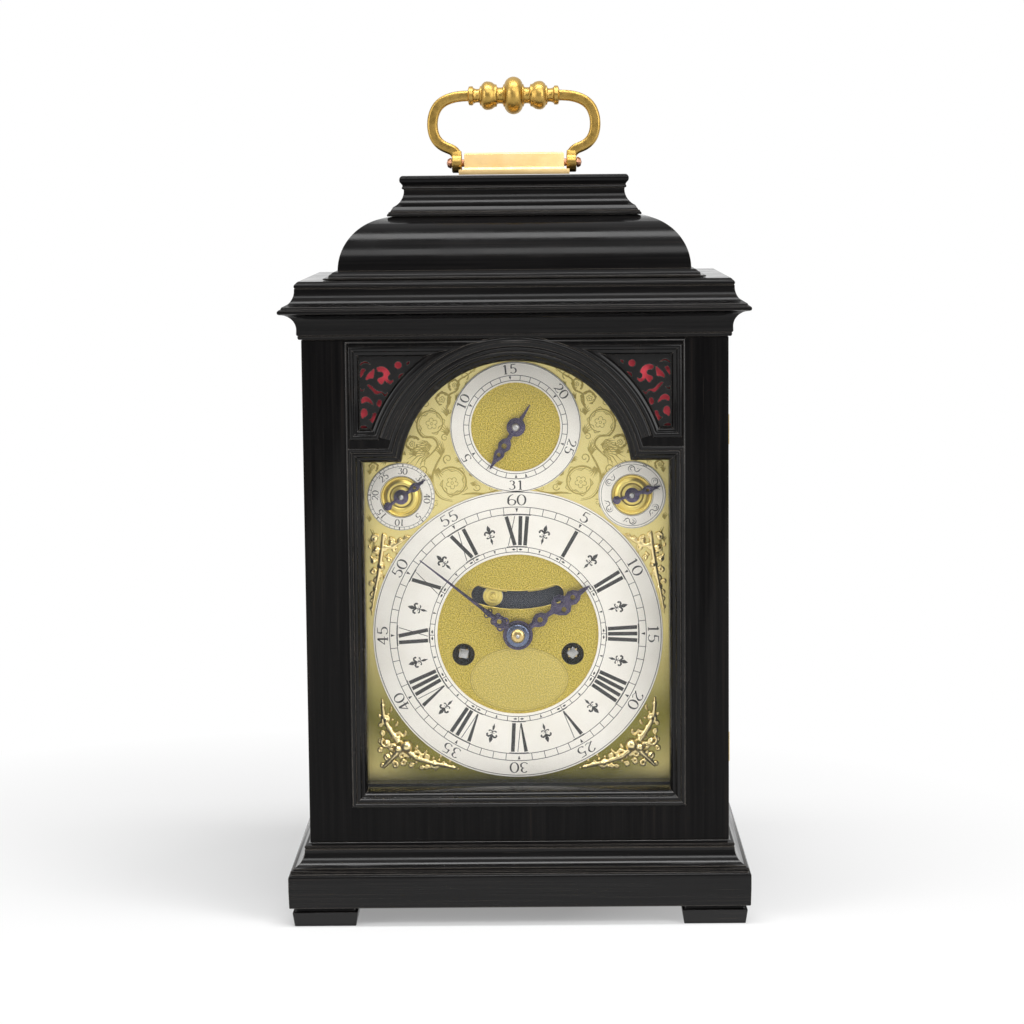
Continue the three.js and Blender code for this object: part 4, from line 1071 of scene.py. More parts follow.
# %% [markdown]
# ## The dial plate
# The plate is one sheet of brass, sawn to an arch above two shoulders. It is pierced for the
# winding squares, for the hands' arbors, and by the curved slot that shows the mock
# pendulum. The slot follows a circle and has round ends, so its outline is two arcs and two
# half circles.

# %% The dial plate, sawn and pierced
FACE_Y = -51.8
PLATE_THICK = 2.2
PLATE = {"half": 89.0, "bottom": 74.6, "shoulder": 266.0, "arch_z": 254.6, "arch_r": 68.6}
SLOT = {"pivot": 251.4, "radius": 69.6, "half_high": 5.2, "half_angle": 18.0}
WINDING = {"x": 31.6, "z": 150.2, "radius": 6.5}


def slot_outline(grow=0.0):
    """The curved slot for the mock pendulum, with round ends."""
    half, turn = SLOT["half_high"] + grow, SLOT["half_angle"]
    low = arc(0, SLOT["pivot"], SLOT["radius"] + half, 270 - turn, 270 + turn, 30)
    high = arc(0, SLOT["pivot"], SLOT["radius"] - half, 270 + turn, 270 - turn, 30)
    ends = []
    for side in (1, -1):
        at = math.radians(270 + side * turn)
        x, z = SLOT["radius"] * math.cos(at), SLOT["pivot"] + SLOT["radius"] * math.sin(at)
        begin = 270 + side * turn if side == 1 else 90 - turn
        ends.append(arc(x, z, half, begin, begin + 180, 18)[1:-1])
    return [*low, *ends[0], *high, *ends[1]]


def round_hole(x, z, radius, steps=64):
    return arc(x, z, radius, 0, 360 - 360 / steps, steps - 1)


plate = solid_from(arched_outline(0, PLATE), DIAL_Y, DIAL_Y + PLATE_THICK)
holes = [round_hole(side * WINDING["x"], WINDING["z"], WINDING["radius"]) for side in (-1, 1)]
holes += [round_hole(side * SMALL["x"], SMALL["z"], 1.8, 24) for side in (-1, 1)]
holes += [round_hole(DATE["x"], DATE["z"], 1.8, 24), round_hole(DIAL["x"], DIAL["z"], 5.2),
          slot_outline()]
cut_away(plate, *[solid_from(line, DIAL_Y - 1, DIAL_Y + 4) for line in holes])
dress(plate, "dial_plate_sawn", "case", matted, ["dial_plate"], angle=30)

# %% [markdown]
# ## Rings on the dial
# The rings are thin sheet with a turned edge, so each is a small section spun about the
# ring's own centre. The two small rings have a turned brass rose inside them: the same
# spin, with a rippled section.

# %% Silvered rings and turned roses
RINGS = {"chapter_ring": DIAL, "date_ring": DATE,
         "regulation_ring": {**SMALL, "x": -SMALL["x"]}, "strike_ring": SMALL}


def ring_piece(node, at):
    inner, outer = at["inner"], at["outer"]
    section = [(inner, -50.3), (inner, -51.65), (inner + 0.15, FACE_Y), (outer - 0.15, FACE_Y),
               (outer, -51.65), (outer, -50.3), (inner, -50.3)]
    piece = spun(section, at["x"], at["z"], steps=192)
    return dress(piece, f"{node}_turned", "case", silvered, [node])


for node, at in RINGS.items():
    ring_piece(node, at)

rose_section = [
    (2.2, -50.1), (2.2, -50.5), (4.6, -50.5), (5.0, -50.2), (5.9, -50.2), (6.3, -50.7),
    (6.9, -51.15), (7.6, -51.35),
    (8.4, -51.2), (9.1, -50.8), (9.5, -50.4), (10.0, -50.3), (10.4, -50.8), (10.9, -51.1),
    (11.3, -51.0),
    (11.5, -50.6), (11.5, -50.1),
]
for hand in (-1, 1):
    rose = spun(rose_section, hand * SMALL["x"], SMALL["z"], steps=96)
    dress(rose, "turned_rose_" + ("left" if hand < 0 else "right"), "case", yellow_gilt,
          angle=50)


# %% [markdown]
# ## A pen for wax and engraving
# The black marks are cut into the rings and filled with wax. A pen drawing them makes
# thick uprights and thin curves, so every mark here is a path with a width at each point.
# A curve with a bevel gives that directly: each point carries its own radius. It is then
# made a mesh and pressed flat, so that it stands only a few hundredths above the metal.
# The figures are drawn once, one unit tall, and the pen gives them their weight.

# %% The pen
def laid(name, y, strokes, roundness, swell=1.0):
    """strokes: lists of (x, z, half width) in mm, laid side by side at depth y."""
    lines = bpy.data.curves.new(name, "CURVE")
    lines.dimensions = "3D"
    lines.bevel_depth = MM
    lines.bevel_resolution = roundness
    lines.use_fill_caps = True
    for stroke in strokes:
        closed = stroke[0] == stroke[-1] and len(stroke) > 3
        points = stroke[:-1] if closed else stroke
        spline = lines.splines.new("POLY")
        spline.points.add(len(points) - 1)
        spline.use_cyclic_u = closed
        for point, (x, z, half) in zip(spline.points, points):
            point.co = (x * MM, y * MM, z * MM, 1)
            point.radius = half * swell
    return as_mesh(name, lines)


def pressed(name, y, strokes, finish, lift=0.05, body="case"):
    """All the strokes become one flat piece that stands `lift` mm in front of depth y."""
    piece = laid(name, y, strokes, roundness=0)
    for corner in piece.data.vertices:
        corner.co.y = y * MM - (lift * MM if corner.co.y < (y - 0.01) * MM else 0)
    return dress(piece, name, body, finish, angle=20)


# %% [markdown]
# ### Figures
# The dial's numbers are written with a pen's thick and thin lines. Each figure is drawn in
# a box one unit tall, as lines and parts of ovals, and nine is six turned round.

# %% The ten figures
FIGURES = {
    "0": [curl(0, 0, 0.30, 0.46, 90, 450, 24)],
    "1": [[(0.02, -0.45), (0.02, 0.46)], [(0.02, 0.46), (-0.15, 0.34)],
          [(-0.13, -0.46), (0.17, -0.46)]],
    "2": [curl(-0.01, 0.20, 0.24, 0.25, 165, -15, 14) + [(0.12, -0.06), (-0.12, -0.28),
                                                         (-0.28, -0.44)],
          [(-0.28, -0.42), (-0.10, -0.36), (0.10, -0.46), (0.30, -0.36)]],
    "3": [curl(-0.03, 0.24, 0.21, 0.21, 150, -80, 14),
          curl(-0.03, -0.20, 0.27, 0.25, 85, -150, 18)],
    "4": [[(0.10, -0.46), (0.10, 0.46)], [(0.10, 0.46), (-0.30, -0.16), (0.30, -0.16)],
          [(-0.04, -0.46), (0.24, -0.46)]],
    "5": [[(0.26, 0.46), (-0.14, 0.44), (-0.18, 0.06)],
          curl(-0.02, -0.17, 0.27, 0.28, 125, -150, 18)],
    "6": [curl(0.16, -0.02, 0.44, 0.50, 95, 180, 12) + curl(0, -0.18, 0.28, 0.28, 190, 350, 14)
          + curl(0, -0.18, 0.28, 0.22, -10, 170, 12)],
    "7": [[(-0.28, 0.40), (-0.05, 0.46), (0.28, 0.40)],
          [(0.28, 0.40), (0.05, -0.02), (-0.04, -0.47)]],
    "8": [curl(0, 0.24, 0.20, 0.21, 0, 360, 18), curl(0, -0.21, 0.27, 0.25, 0, 360, 20)],
    "9": [],
}
FIGURES["9"] = [[(-x, -z) for x, z in line] for line in FIGURES["6"]]


print("figures:", "".join(sorted(FIGURES)))

# %% [markdown]
# ### Setting marks on a ring
# A mark is drawn upright and then set at a bearing, in degrees clockwise from the top as
# the hands go. A hoop is a whole circle and a ray is a line outwards from the centre.

# %% Weight, place and turn of the marks
def penned(line, thin, thick):
    """Gives a line its widths: thick where it runs up and down, thin where it runs across."""
    widths = []
    for i in range(len(line)):
        (x0, z0), (x1, z1) = line[max(i - 1, 0)], line[min(i + 1, len(line) - 1)]
        run = math.hypot(x1 - x0, z1 - z0) or 1.0
        widths.append(thin + (thick - thin) * (abs(z1 - z0) / run) ** 2)
    return [(x, z, w) for (x, z), w in zip(line, widths)]


def set_at(strokes, cx, cz, radius, bearing, flip=False):
    """Moves upright strokes to a bearing (degrees clockwise from the top) on a ring."""
    a = math.radians(bearing)
    turn = a + (math.pi if flip else 0)
    ox, oz = cx + radius * math.sin(a), cz + radius * math.cos(a)
    c, s = math.cos(turn), math.sin(turn)
    return [[(ox + x * c + z * s, oz - x * s + z * c, w) for x, z, w in line] for line in strokes]


def number(text, tall, wide=1.0, thin=0.13, thick=0.42):
    pitch = tall * 0.74 * wide
    strokes = []
    for i, figure in enumerate(text):
        shift = (i - (len(text) - 1) / 2) * pitch
        for line in FIGURES[figure]:
            drawn = penned([(x * tall * wide, z * tall) for x, z in line], thin, thick)
            strokes.append([(x + shift, z, w) for x, z, w in drawn])
    return strokes


def hoop(cx, cz, radius, half, steps=180):
    line = [(x, z, half) for x, z in curl(cx, cz, radius, radius, 0, 360, steps)]
    line[-1] = line[0]
    return line


def ray(cx, cz, inner, outer, bearing, half, half_out=None):
    a = math.radians(bearing)
    s, c = math.sin(a), math.cos(a)
    return [(cx + inner * s, cz + inner * c, half),
            (cx + outer * s, cz + outer * c, half if half_out is None else half_out)]


def on_ring(line, cx, cz, bearing, middle):
    """Bends an upright drawing round the ring: x runs along the circle, z is the radius."""
    bent = []
    for x, z, w in line:
        a = math.radians(bearing) + x / middle
        bent.append((cx + z * math.sin(a), cz + z * math.cos(a), w))
    return bent


print("the number 12 takes", len(number("12", 6.5)), "strokes")


# %% [markdown]
# ### What is drawn on the hour ring
# From the edge inwards: a fine double circle, the minutes every five, the minute track,
# the hours in Roman numerals with four as IIII, a lily at each half hour, and the
# quarter-hour track. The hours are bent round the ring, so their bars lean to the centre.

# %% Roman hours
BAR, PITCH, VEE, EX = 1.08, 3.4, 6.4, 7.2
HOURS = ["XII", "I", "II", "III", "IIII", "V", "VI", "VII", "VIII", "IX", "X", "XI"]


def roman(text, low=52.1, high=69.0):
    widths = {"I": PITCH, "V": VEE, "X": EX}
    total = sum(widths[letter] for letter in text)
    left, strokes = -total / 2, []
    for letter in text:
        wide = widths[letter]
        mid = left + wide / 2
        if letter == "I":
            strokes.append([(mid, low, BAR), (mid, high, BAR)])
        elif letter == "V":
            strokes.append([(mid - wide * 0.30, high, BAR), (mid + 0.2, low, BAR * 0.4)])
            strokes.append([(mid + wide * 0.36, high, 0.2), (mid + 0.4, low, 0.2)])
        else:
            strokes.append([(mid - wide * 0.27, high, BAR), (mid + wide * 0.27, low, BAR)])
            strokes.append([(mid + wide * 0.33, high, 0.2), (mid - wide * 0.33, low, 0.2)])
        left += wide
    for radius in (high + 0.7, low - 0.7):
        strokes.append([(-total / 2 + total * i / 6, radius, 0.18) for i in range(7)])
    return strokes


print("the hour VIII takes", len(roman("VIII")), "strokes")


# %% [markdown]
# ### The lily at each half hour
# The half hours are marked with a small lily: a pointed bud, two leaves that curl down, a
# tie, and a foot. Half of it is drawn and the leaves are mirrored.

# %% Lily, and the whole hour ring
LILY = [
    [(0, 5.8, 0.08), (0, 4.6, 0.75), (0, 3.4, 1.15), (0, 2.0, 0.7), (0, 0.4, 0.22)],
    [(0, 0.5, 0.2), (-0.7, 1.5, 0.45), (-1.7, 2.2, 0.6), (-2.6, 1.9, 0.5), (-2.9, 1.1, 0.55),
     (-2.4, 0.6, 0.5)],
    [(0, -0.7, 0.2), (-0.9, -1.5, 0.3), (-1.8, -1.5, 0.4), (-2.2, -0.9, 0.45)],
    [(0, 0.4, 0.2), (0, -1.6, 0.2)],
    [(-1.3, -0.2, 0.15), (1.3, -0.2, 0.15)],
    [(0, -1.6, 0.2), (0, -2.8, 0.55), (0, -3.8, 0.75), (0, -4.6, 0.4), (0, -5.8, 0.08)],
]
LILY += [[(-x, z, w) for x, z, w in line] for line in LILY[1:3]]


def hour_ring_marks():
    cx, cz = DIAL["x"], DIAL["z"]
    marks = [hoop(cx, cz, radius, 0.2, 240) for radius in (82.8, 74.2, 70.1)]
    marks += [hoop(cx, cz, radius, 0.19, 180) for radius in (51.0, 48.2)]
    for minute in range(60):
        bearing = minute * 6
        if minute % 5:
            marks.append(ray(cx, cz, 70.1, 74.2, bearing, 0.19))
        else:
            marks.append(ray(cx, cz, 71.4, 73.5, bearing, 0.12, 0.8))
            marks += set_at(number(str(minute or 60), 6.5, 1.16, 0.17, 0.52), cx, cz, 78.3, bearing)
    for i, text in enumerate(HOURS):
        marks += [on_ring(line, cx, cz, i * 30, 60.5) for line in roman(text)]
        marks += set_at(LILY, cx, cz, 59.9, i * 30 + 15)
        for quarter in (0, 7.5, 22.5):
            marks.append(ray(cx, cz, 48.2, 51.0, i * 30 + quarter, 0.18))
        marks.append(ray(cx, cz, 48.7, 50.5, i * 30 + 15, 0.1, 0.6))
        for side in (-1, 1):
            arrow = [(side * 3.0, 49.6, 0.13), (side * 1.9, 49.6, 0.13), (side * 1.9, 49.6, 0.6),
                     (side * 0.8, 49.6, 0.08)]
            marks.append(on_ring(arrow, cx, cz, i * 30, 49.6))
    return marks


pressed("hour_ring_wax", FACE_Y, hour_ring_marks(), wax)


# %% [markdown]
# ### What is drawn on the smaller rings
# The date ring counts 31 days, with the last at the foot. The left small ring has a scale
# of forty parts for regulating the pendulum. The right one has two stops for the striking
# control, joined by plain curls.

# %% Date, regulation and strike rings
def date_marks():
    cx, cz = DATE["x"], DATE["z"]
    marks = [hoop(cx, cz, 37.0, 0.18), hoop(cx, cz, 29.8, 0.19), hoop(cx, cz, 26.8, 0.19)]
    for day in range(1, 32):
        bearing = 180 + day * 360 / 31
        if day % 5 and day != 31:
            marks.append(ray(cx, cz, 26.8, 29.8, bearing, 0.18))
        else:
            marks.append(ray(cx, cz, 27.4, 29.3, bearing, 0.1, 0.7))
    for day in (5, 10, 15, 20, 25, 31):
        marks += set_at(number(str(day), 5.6, 1.1, 0.16, 0.46), cx, cz, 33.4, 180 + day * 360 / 31,
                        flip=day == 31)
    return marks


def regulation_marks():
    cx, cz = -SMALL["x"], SMALL["z"]
    marks = [hoop(cx, cz, 19.1, 0.12, 120), hoop(cx, cz, 17.5, 0.12, 120),
             hoop(cx, cz, 12.1, 0.14, 96)]
    for step in range(40):
        marks.append(ray(cx, cz, 17.5, 19.1, 4 + step * 9, 0.12 if step % 5 else 0.3))
    for i, text in enumerate(("30", "35", "40", "5", "10", "15", "20", "25")):
        marks += set_at(number(text, 3.9, 0.98, 0.12, 0.3), cx, cz, 14.95, 4 + i * 45)
    return marks


def flourish():
    """A plain penman's curl: an open volute, a tail and a dot."""
    volute = [(x, z, 0.16 + 0.1 * math.sin(i / 4)) for i, (x, z) in
              enumerate(curl(-2.4, 0, 1.9, 1.8, -20, 300, 20))]
    eye = [(x, z, 0.18) for x, z in curl(-2.4, 0.1, 0.8, 0.8, 300, 60, 10)]
    tail = [(-0.6, -0.6, 0.14), (0.6, -1.3, 0.22), (1.9, -0.7, 0.26), (2.4, 0.4, 0.16),
            (3.3, 0.9, 0.1)]
    dot = [(1.2, 0.9, 0.1), (1.2, 0.65, 0.38), (1.2, 0.4, 0.1)]
    return [volute, eye, tail, dot]


def strike_marks():
    cx, cz = SMALL["x"], SMALL["z"]
    marks = [hoop(cx, cz, 19.0, 0.12, 120), hoop(cx, cz, 17.8, 0.14, 120),
             hoop(cx, cz, 12.1, 0.14, 96)]
    for i in range(6):
        marks += set_at(flourish(), cx, cz, 14.9, i * 60 + 8)
    for bearing in (-24, 24):
        for lean in (-2.5, 0, 2.5):
            marks.append(ray(cx, cz, 17.8, 19.0, bearing + lean, 0.2))
    return marks


pressed("date_ring_wax", FACE_Y, date_marks(), wax)
pressed("regulation_ring_wax", FACE_Y, regulation_marks(), wax)
pressed("strike_ring_wax", FACE_Y, strike_marks(), wax)


# %% [markdown]
# ## Engraving on the plate
# The arch and the shoulders are covered with engraved foliage. It is the usual engraver's
# alphabet: a stem that winds into a volute, short leaves along both its sides, and a
# flower at its eye. One volute is written once and set at each place with its own size and
# turn, and the right half mirrors the left. Below the centre an empty oval is outlined.

# %% Foliage, in the pen's strokes
def volute(x, z, size, start, way):
    """A scroll with leaves on both sides and, where there is room, a rosette in its eye."""
    large = size > 2.8
    sweep, closing = (330, 0.42) if large else (430, 0.8)

    def on_scroll(part, share=1.0):
        a = math.radians(start + way * sweep * part)
        r = size * share * (1 - closing * part)
        return x + r * math.cos(a), z + r * math.sin(a)

    main = min(0.55, 0.13 * size)
    strokes = [[(*on_scroll(i / 30), main * (1 - 0.5 * i / 30)) for i in range(31)]]
    if not large:
        return strokes
    strokes.append([(*on_scroll(i / 30, 0.86), 0.16) for i in range(22)])
    for i in range(8):
        part = 0.06 + i * 0.115
        root, bend = on_scroll(part), on_scroll(part + 0.05, 1.2 if i % 2 else 0.74)
        tip = on_scroll(part + 0.11, 1.1 if i % 2 else 0.82)
        strokes.append([(*root, 0.14), (*bend, 0.3), (*tip, 0.12)])
    eye = size * 0.08
    strokes.append([(x + eye * math.cos(a / 2), z + eye * math.sin(a / 2), 0.16)
                    for a in range(13)])
    for i in range(5):
        a = 72 * i + start
        px = x + size * 0.23 * math.cos(math.radians(a))
        pz = z + size * 0.23 * math.sin(math.radians(a))
        petal = curl(px, pz, size * 0.13, size * 0.13, a - 125, a + 125, 9)
        strokes.append([(u, v, 0.17) for u, v in petal])
    return strokes


print("a volute takes", len(volute(0, 0, 8, 0, 1)), "strokes")


# %% [markdown]
# ### Stems and leaves
# A stem is a smooth curve through a few points, the same curve a spline gives, and is
# thickest in its middle. A leaf is shaded with a fan of fine strokes.

# %% Stems and leaves
def stem(*points):
    """A smooth stem through a few points, thicker in its middle, with a finer line beside it."""
    line = []
    for i in range(len(points) - 1):
        p0, p1 = points[max(i - 1, 0)], points[i]
        p2, p3 = points[i + 1], points[min(i + 2, len(points) - 1)]
        for step in range(8):
            t = step / 8
            line.append(tuple(0.5 * (
                2 * p1[k] + (p2[k] - p0[k]) * t
                + (2 * p0[k] - 5 * p1[k] + 4 * p2[k] - p3[k]) * t * t
                + (3 * p1[k] - p0[k] - 3 * p2[k] + p3[k]) * t ** 3) for k in (0, 1)))
    line.append(points[-1])
    last = len(line) - 1
    return [[(x, z, 0.1 + 0.45 * math.sin(math.pi * i / last)) for i, (x, z) in enumerate(line)],
            [(x + 0.9, z + 0.6, 0.14) for x, z in line[2:-2]]]


def leafage(x, z, long, bearing, spread):
    """A fan of fine strokes, as an engraver shades a leaf."""
    strokes = []
    for i in range(spread):
        a = math.radians(bearing + (i - (spread - 1) / 2) * 13)
        reach = long * (1 - 0.12 * abs(i - (spread - 1) / 2))
        bend = a + 0.25
        strokes.append([(x, z, 0.08), (x + reach * 0.55 * math.cos(a),
                                       z + reach * 0.55 * math.sin(a), 0.34),
                        (x + reach * math.cos(bend), z + reach * math.sin(bend), 0.06)])
    return strokes


print("a spray of leaves takes", len(leafage(0, 0, 8, 0, 20)), "strokes")


# %% [markdown]
# ### Where it all goes
# The volutes, stems and leaves are set down for the left half, in mm on the dial, and
# mirrored. They fill the arch and the shoulders and keep clear of the rings.

# %% The plate's foliage and the empty oval
def foliage():
    left = []
    for spec in ((-48.4, 284.5, 9.2, 240, -1), (-42.2, 298.4, 4.9, -60, 1),
                 (-35.0, 306.6, 3.7, 235, -1),
                 (-29.3, 311.8, 2.5, -60, 1), (-24.2, 314.8, 1.6, 235, -1),
                 (-59.7, 273.0, 4.6, 30, 1),
                 (-37.0, 250.2, 9.6, 130, -1), (-39.4, 264.2, 2.8, 250, -1),
                 (-53.8, 258.0, 2.6, 300, 1),
                 (-22.6, 247.6, 2.3, 200, 1), (-82.4, 260.0, 3.0, 300, 1),
                 (-51.4, 271.0, 2.7, 200, 1),
                 (-14.6, 246.6, 1.4, 20, 1), (-46.4, 238.4, 1.8, 60, 1), (-41.0, 276.4, 2.2, 60, 1),
                 (-31.6, 262.6, 1.9, 120, -1), (-38.8, 291.6, 1.7, 30, -1),
                 (-51.4, 296.2, 1.9, 200, 1)):
        left += volute(*spec)
    left += stem((-55.6, 261.4), (-49.8, 266.2), (-45.2, 271.8), (-47.6, 276.2), (-53.6, 277.2),
                 (-57.2, 282))
    left += stem((-43.9, 275), (-42.4, 268.4), (-46.2, 260.6), (-48.6, 253.6), (-47.6, 246.8),
                 (-43.6, 241.4), (-36.6, 239.4))
    left += stem((-41.6, 291.4), (-39.4, 294.2), (-38.4, 300.6), (-33.8, 303.6), (-32.6, 309),
                 (-27.2, 312.6), (-22.6, 316.4))
    left += stem((-62, 262.8), (-66, 259.8), (-70.4, 263.6), (-78, 265.2))
    left += stem((-31.8, 243.4), (-25.4, 244), (-18.4, 243.8), (-9.6, 246.4))
    left += stem((-84.6, 224), (-82.6, 218), (-84.2, 208))
    for spec in ((-49.6, 267.6, 14.5, 187, 8), (-48.4, 271.6, 11.5, 176, 7),
                 (-43.6, 266.2, 8.0, 82, 7), (-44.8, 259.2, 7.0, 262, 7),
                 (-39.6, 277.4, 7.5, 96, 6), (-39.8, 288.6, 6.5, 88, 6), (-56.4, 288, 6.5, 66, 6),
                 (-34.6, 298.2, 4.5, 55, 5),
                 (-49.6, 300.6, 5.5, 40, 5), (-40.6, 309.8, 4.0, 30, 5), (-29.0, 305.4, 4.0, 50, 5),
                 (-50.2, 250.6, 7.5, 100, 6),
                 (-31.4, 262.0, 5.0, 130, 6), (-27.4, 256.6, 5.0, 320, 6),
                 (-26.6, 250.2, 4.6, 340, 5), (-17, 250, 4, 20, 5),
                 (-48.8, 234.4, 5, 85, 5), (-85.2, 228, 4.6, 80, 5), (-84.8, 215, 4, 85, 4),
                 (-57.6, 265.8, 6, 120, 6),
                 (-73.6, 263.8, 5.5, 190, 6), (-63.4, 266.6, 4.6, 140, 5),
                 (-54.6, 252.6, 4.2, 60, 5), (-84.6, 255.4, 4, 80, 5)):
        left += leafage(*spec)
    right = [[(-x, z, w) for x, z, w in line] for line in left]
    return left + right


def cartouche():
    cx, cz, wide, tall = OVAL["x"], OVAL["z"], OVAL["wide"], OVAL["tall"]
    frame_line = [(x, z, 0.26) for x, z in curl(cx, cz, wide, tall, 0, 360, 96)]
    frame_line[-1] = frame_line[0]
    inner = [(x, z, 0.12) for x, z in curl(cx, cz, wide - 1.1, tall - 1.1, 0, 360, 96)]
    inner[-1] = inner[0]
    marks = [frame_line, inner]
    for side in (-1, 1):
        for low in (-1, 1):
            marks.append([(cx + side * x, cz + low * z, w) for x, z, w in
                          ((8, 19.4, 0.1), (5, 21.0, 0.3), (1.6, 20.6, 0.3), (0.4, 19.2, 0.2),
                           (1.8, 18.4, 0.12))])
    return marks


print("the plate's foliage takes", len(foliage()), "strokes")


# %% [markdown]
# ### Cutting it
# A cut line in gilt brass is darker than the polished metal beside it, because it doesn't send the
# light back to the eye. The strokes here are flat, so that shade is painted: they get a dull,
# brownish brass.

# %% Engraved lines
def engraved():
    finish = Finish("engraved_lines", Metallic=1.0, Roughness=0.55)
    tone = finish.noise(400.0, 3, 0.6)
    # Painted shade of the cut: a dull, brownish brass.
    finish.set(Base_color=finish.ramp(tone, (0.3, (0.40, 0.31, 0.075)), (0.7, (0.56, 0.45, 0.13))))
    return finish.material


cut_lines = engraved()
pressed("engraved_foliage", DIAL_Y, foliage(), cut_lines, lift=0.03)
pressed("engraved_cartouche", DIAL_Y, cartouche(), cut_lines, lift=0.03)


# %% [markdown]
# ## Softer arrises on the plain solids
# The hands and the handle's plate already have the right outline, but their edges are
# knife-sharp. A copy of the solid is merged, because a loaded mesh is loose triangles, its
# flat faces are dissolved back into one, and a small bevel then rounds every sharp edge so
# that it catches light.

# %% A softened copy
def softened(node, name, body, finish, width, segments=2, angle=40):
    piece = twin_of(frame["nodes"][node])
    with editing(piece):
        bpy.ops.mesh.select_all(action="SELECT")
        bpy.ops.mesh.remove_doubles(threshold=0.005 * MM)
        bpy.ops.mesh.dissolve_limited(angle_limit=math.radians(0.5))
    modify(piece, "BEVEL", width=width * MM, segments=segments, limit_method="ANGLE",
           angle_limit=math.radians(28))
    return dress(piece, name, body, finish, [node], angle=angle)


for node, body in (("hour_hand", "hour_train"), ("minute_hand", "minute_train"),
                   ("date_hand", "date_train"),
                   ("regulation_hand", "regulation"), ("strike_hand", "strike_selector")):
    softened(node, f"{node}_filed", body, blued, 0.22)

# %% [markdown]
# ## Collet, bosses and pins
# The hands are held on their arbors by a domed brass collet and a small steel pin. The
# minute hand's boss is polished and blued lighter than the hand itself, and the hour hand's
# has a raised rim. All of them are turned, so each is a section spun about its arbor.

# %% Collet, bosses and pins
collet_section = [(0, -59.5), (1.2, -59.5), (2.9, -59.1), (3.8, -58.5), (4.15, -57.8),
                  (4.15, -57.3), (0, -57.3)]
collet = spun(collet_section, DIAL["x"], DIAL["z"], steps=48)
dress(collet, "hand_collet", "minute_train", brass, angle=50)
boss_section = [(4.0, -57.3), (4.0, -57.75), (6.1, -57.75), (6.5, -57.45), (6.5, -57.2),
                (4.0, -57.2)]
boss = spun(boss_section, DIAL["x"], DIAL["z"], steps=64)
dress(boss, "minute_hand_boss", "minute_train", blued_light, angle=40)
rim_section = [(6.9, -54.25), (6.9, -54.9), (7.6, -55.1), (8.5, -54.8), (8.7, -54.4), (8.7, -54.25)]
rim = spun(rim_section, DIAL["x"], DIAL["z"], steps=64)
dress(rim, "hour_hand_boss", "hour_train", blued, angle=40)

pin_section = [(0, -1.1), (0.7, -1.05), (1.3, -0.75), (1.65, -0.2), (1.65, 0.5), (0, 0.5)]
for name, body, x, z, y, size in (
        ("centre_pin", "minute_train", DIAL["x"], DIAL["z"], -59.6, 0.75),
        ("date_pin", "date_train", DATE["x"], DATE["z"], -54.4, 1.35),
        ("regulation_pin", "regulation", -SMALL["x"], SMALL["z"], -54.4, 1.0),
        ("strike_pin", "strike_selector", SMALL["x"], SMALL["z"], -54.4, 1.0)):
    pin = spun([(r * size, y + d * size) for r, d in pin_section], x, z, steps=32)
    dress(pin, name, body, steel, angle=50)

# %% [markdown]
# ## The mock pendulum
# Behind the curved slot swings a small gilt disc, which shows that the clock is going. Its
# face is turned in rings and stays just behind the plate, so that it can pass under the
# ends of the slot. A fine raised lip and a few cut curls frame the slot.

# %% Disc, lip and curls
disc_section = [
    (0, -47.72), (0.5, -47.70), (0.8, -47.45), (1.3, -47.42), (1.6, -47.70), (2.1, -47.70),
    (2.4, -47.45), (3.0, -47.45),
    (3.5, -47.72), (4.3, -47.72), (4.7, -47.52), (5.2, -47.68), (5.6, -47.58), (5.7, -47.35),
    (0, -47.35),
]
MOCK = {"pivot": 240.1, "radius": 58.1, "angle": 14.3}
mock_x = -MOCK["radius"] * math.sin(math.radians(MOCK["angle"]))
mock_z = MOCK["pivot"] - MOCK["radius"] * math.cos(math.radians(MOCK["angle"]))
disc = spun(disc_section, mock_x, mock_z, steps=64)
dress(disc, "mock_pendulum_face", "verge", yellow_gilt, angle=40)

lip = [(x, z, 0.32) for x, z in slot_outline(0.3)]
pressed("slot_lip", DIAL_Y, [lip + lip[:1]], yellow_gilt, lift=0.3)
curls = [arc(-26.6, 186.6, 1.9, 80, 250, 12), arc(-26.0, 176.4, 1.6, 60, 230, 10),
         arc(26.6, 186.6, 1.9, 100, -70, 12),
         [(-22, 190.4), (-14, 188.0), (-6, 187.0)], [(22, 190.4), (14, 188.0), (6, 187.0)]]
pressed("slot_curls", DIAL_Y, [[(x, z, 0.4) for x, z in line] for line in curls], cut_lines,
        lift=0.1)


# %% [markdown]
# ## Scrolls on the minute hand
# Near its root the minute hand is fretted into small hooks on both sides. They are too fine
# for the solid, so the pen draws them along the stored hand, and they turn with it.

# %% Hooks beside the minute hand
MINUTE_BEARING = math.radians(308.4)


def along_hand(u, v):
    """A point u mm out from the centre along the stored minute hand and v mm to its side."""
    s, c = math.sin(MINUTE_BEARING), math.cos(MINUTE_BEARING)
    return DIAL["x"] + u * s + v * c, DIAL["z"] + u * c - v * s


hand_strokes = []
for side in (-1, 1):
    for u, v, radius, half in ((11.0, 2.4, 1.7, 0.5), (16.2, 2.0, 1.5, 0.45),
                               (21.6, 1.6, 1.2, 0.36)):
        hook = [along_hand(u + radius * math.cos(a), side * (v + radius * math.sin(a)))
                for a in [math.radians(-110 + 22 * i) for i in range(15)]]
        hand_strokes.append([(x, z, half * (0.7 + 0.03 * i)) for i, (x, z) in enumerate(hook)])
    tip = [along_hand(24 + i, side * (0.9 - 0.1 * i)) for i in range(7)]
    hand_strokes.append([(x, z, 0.32) for x, z in tip])
pressed("minute_hand_scrolls", -57.4, hand_strokes, blued, lift=0.4,
        body="minute_train")


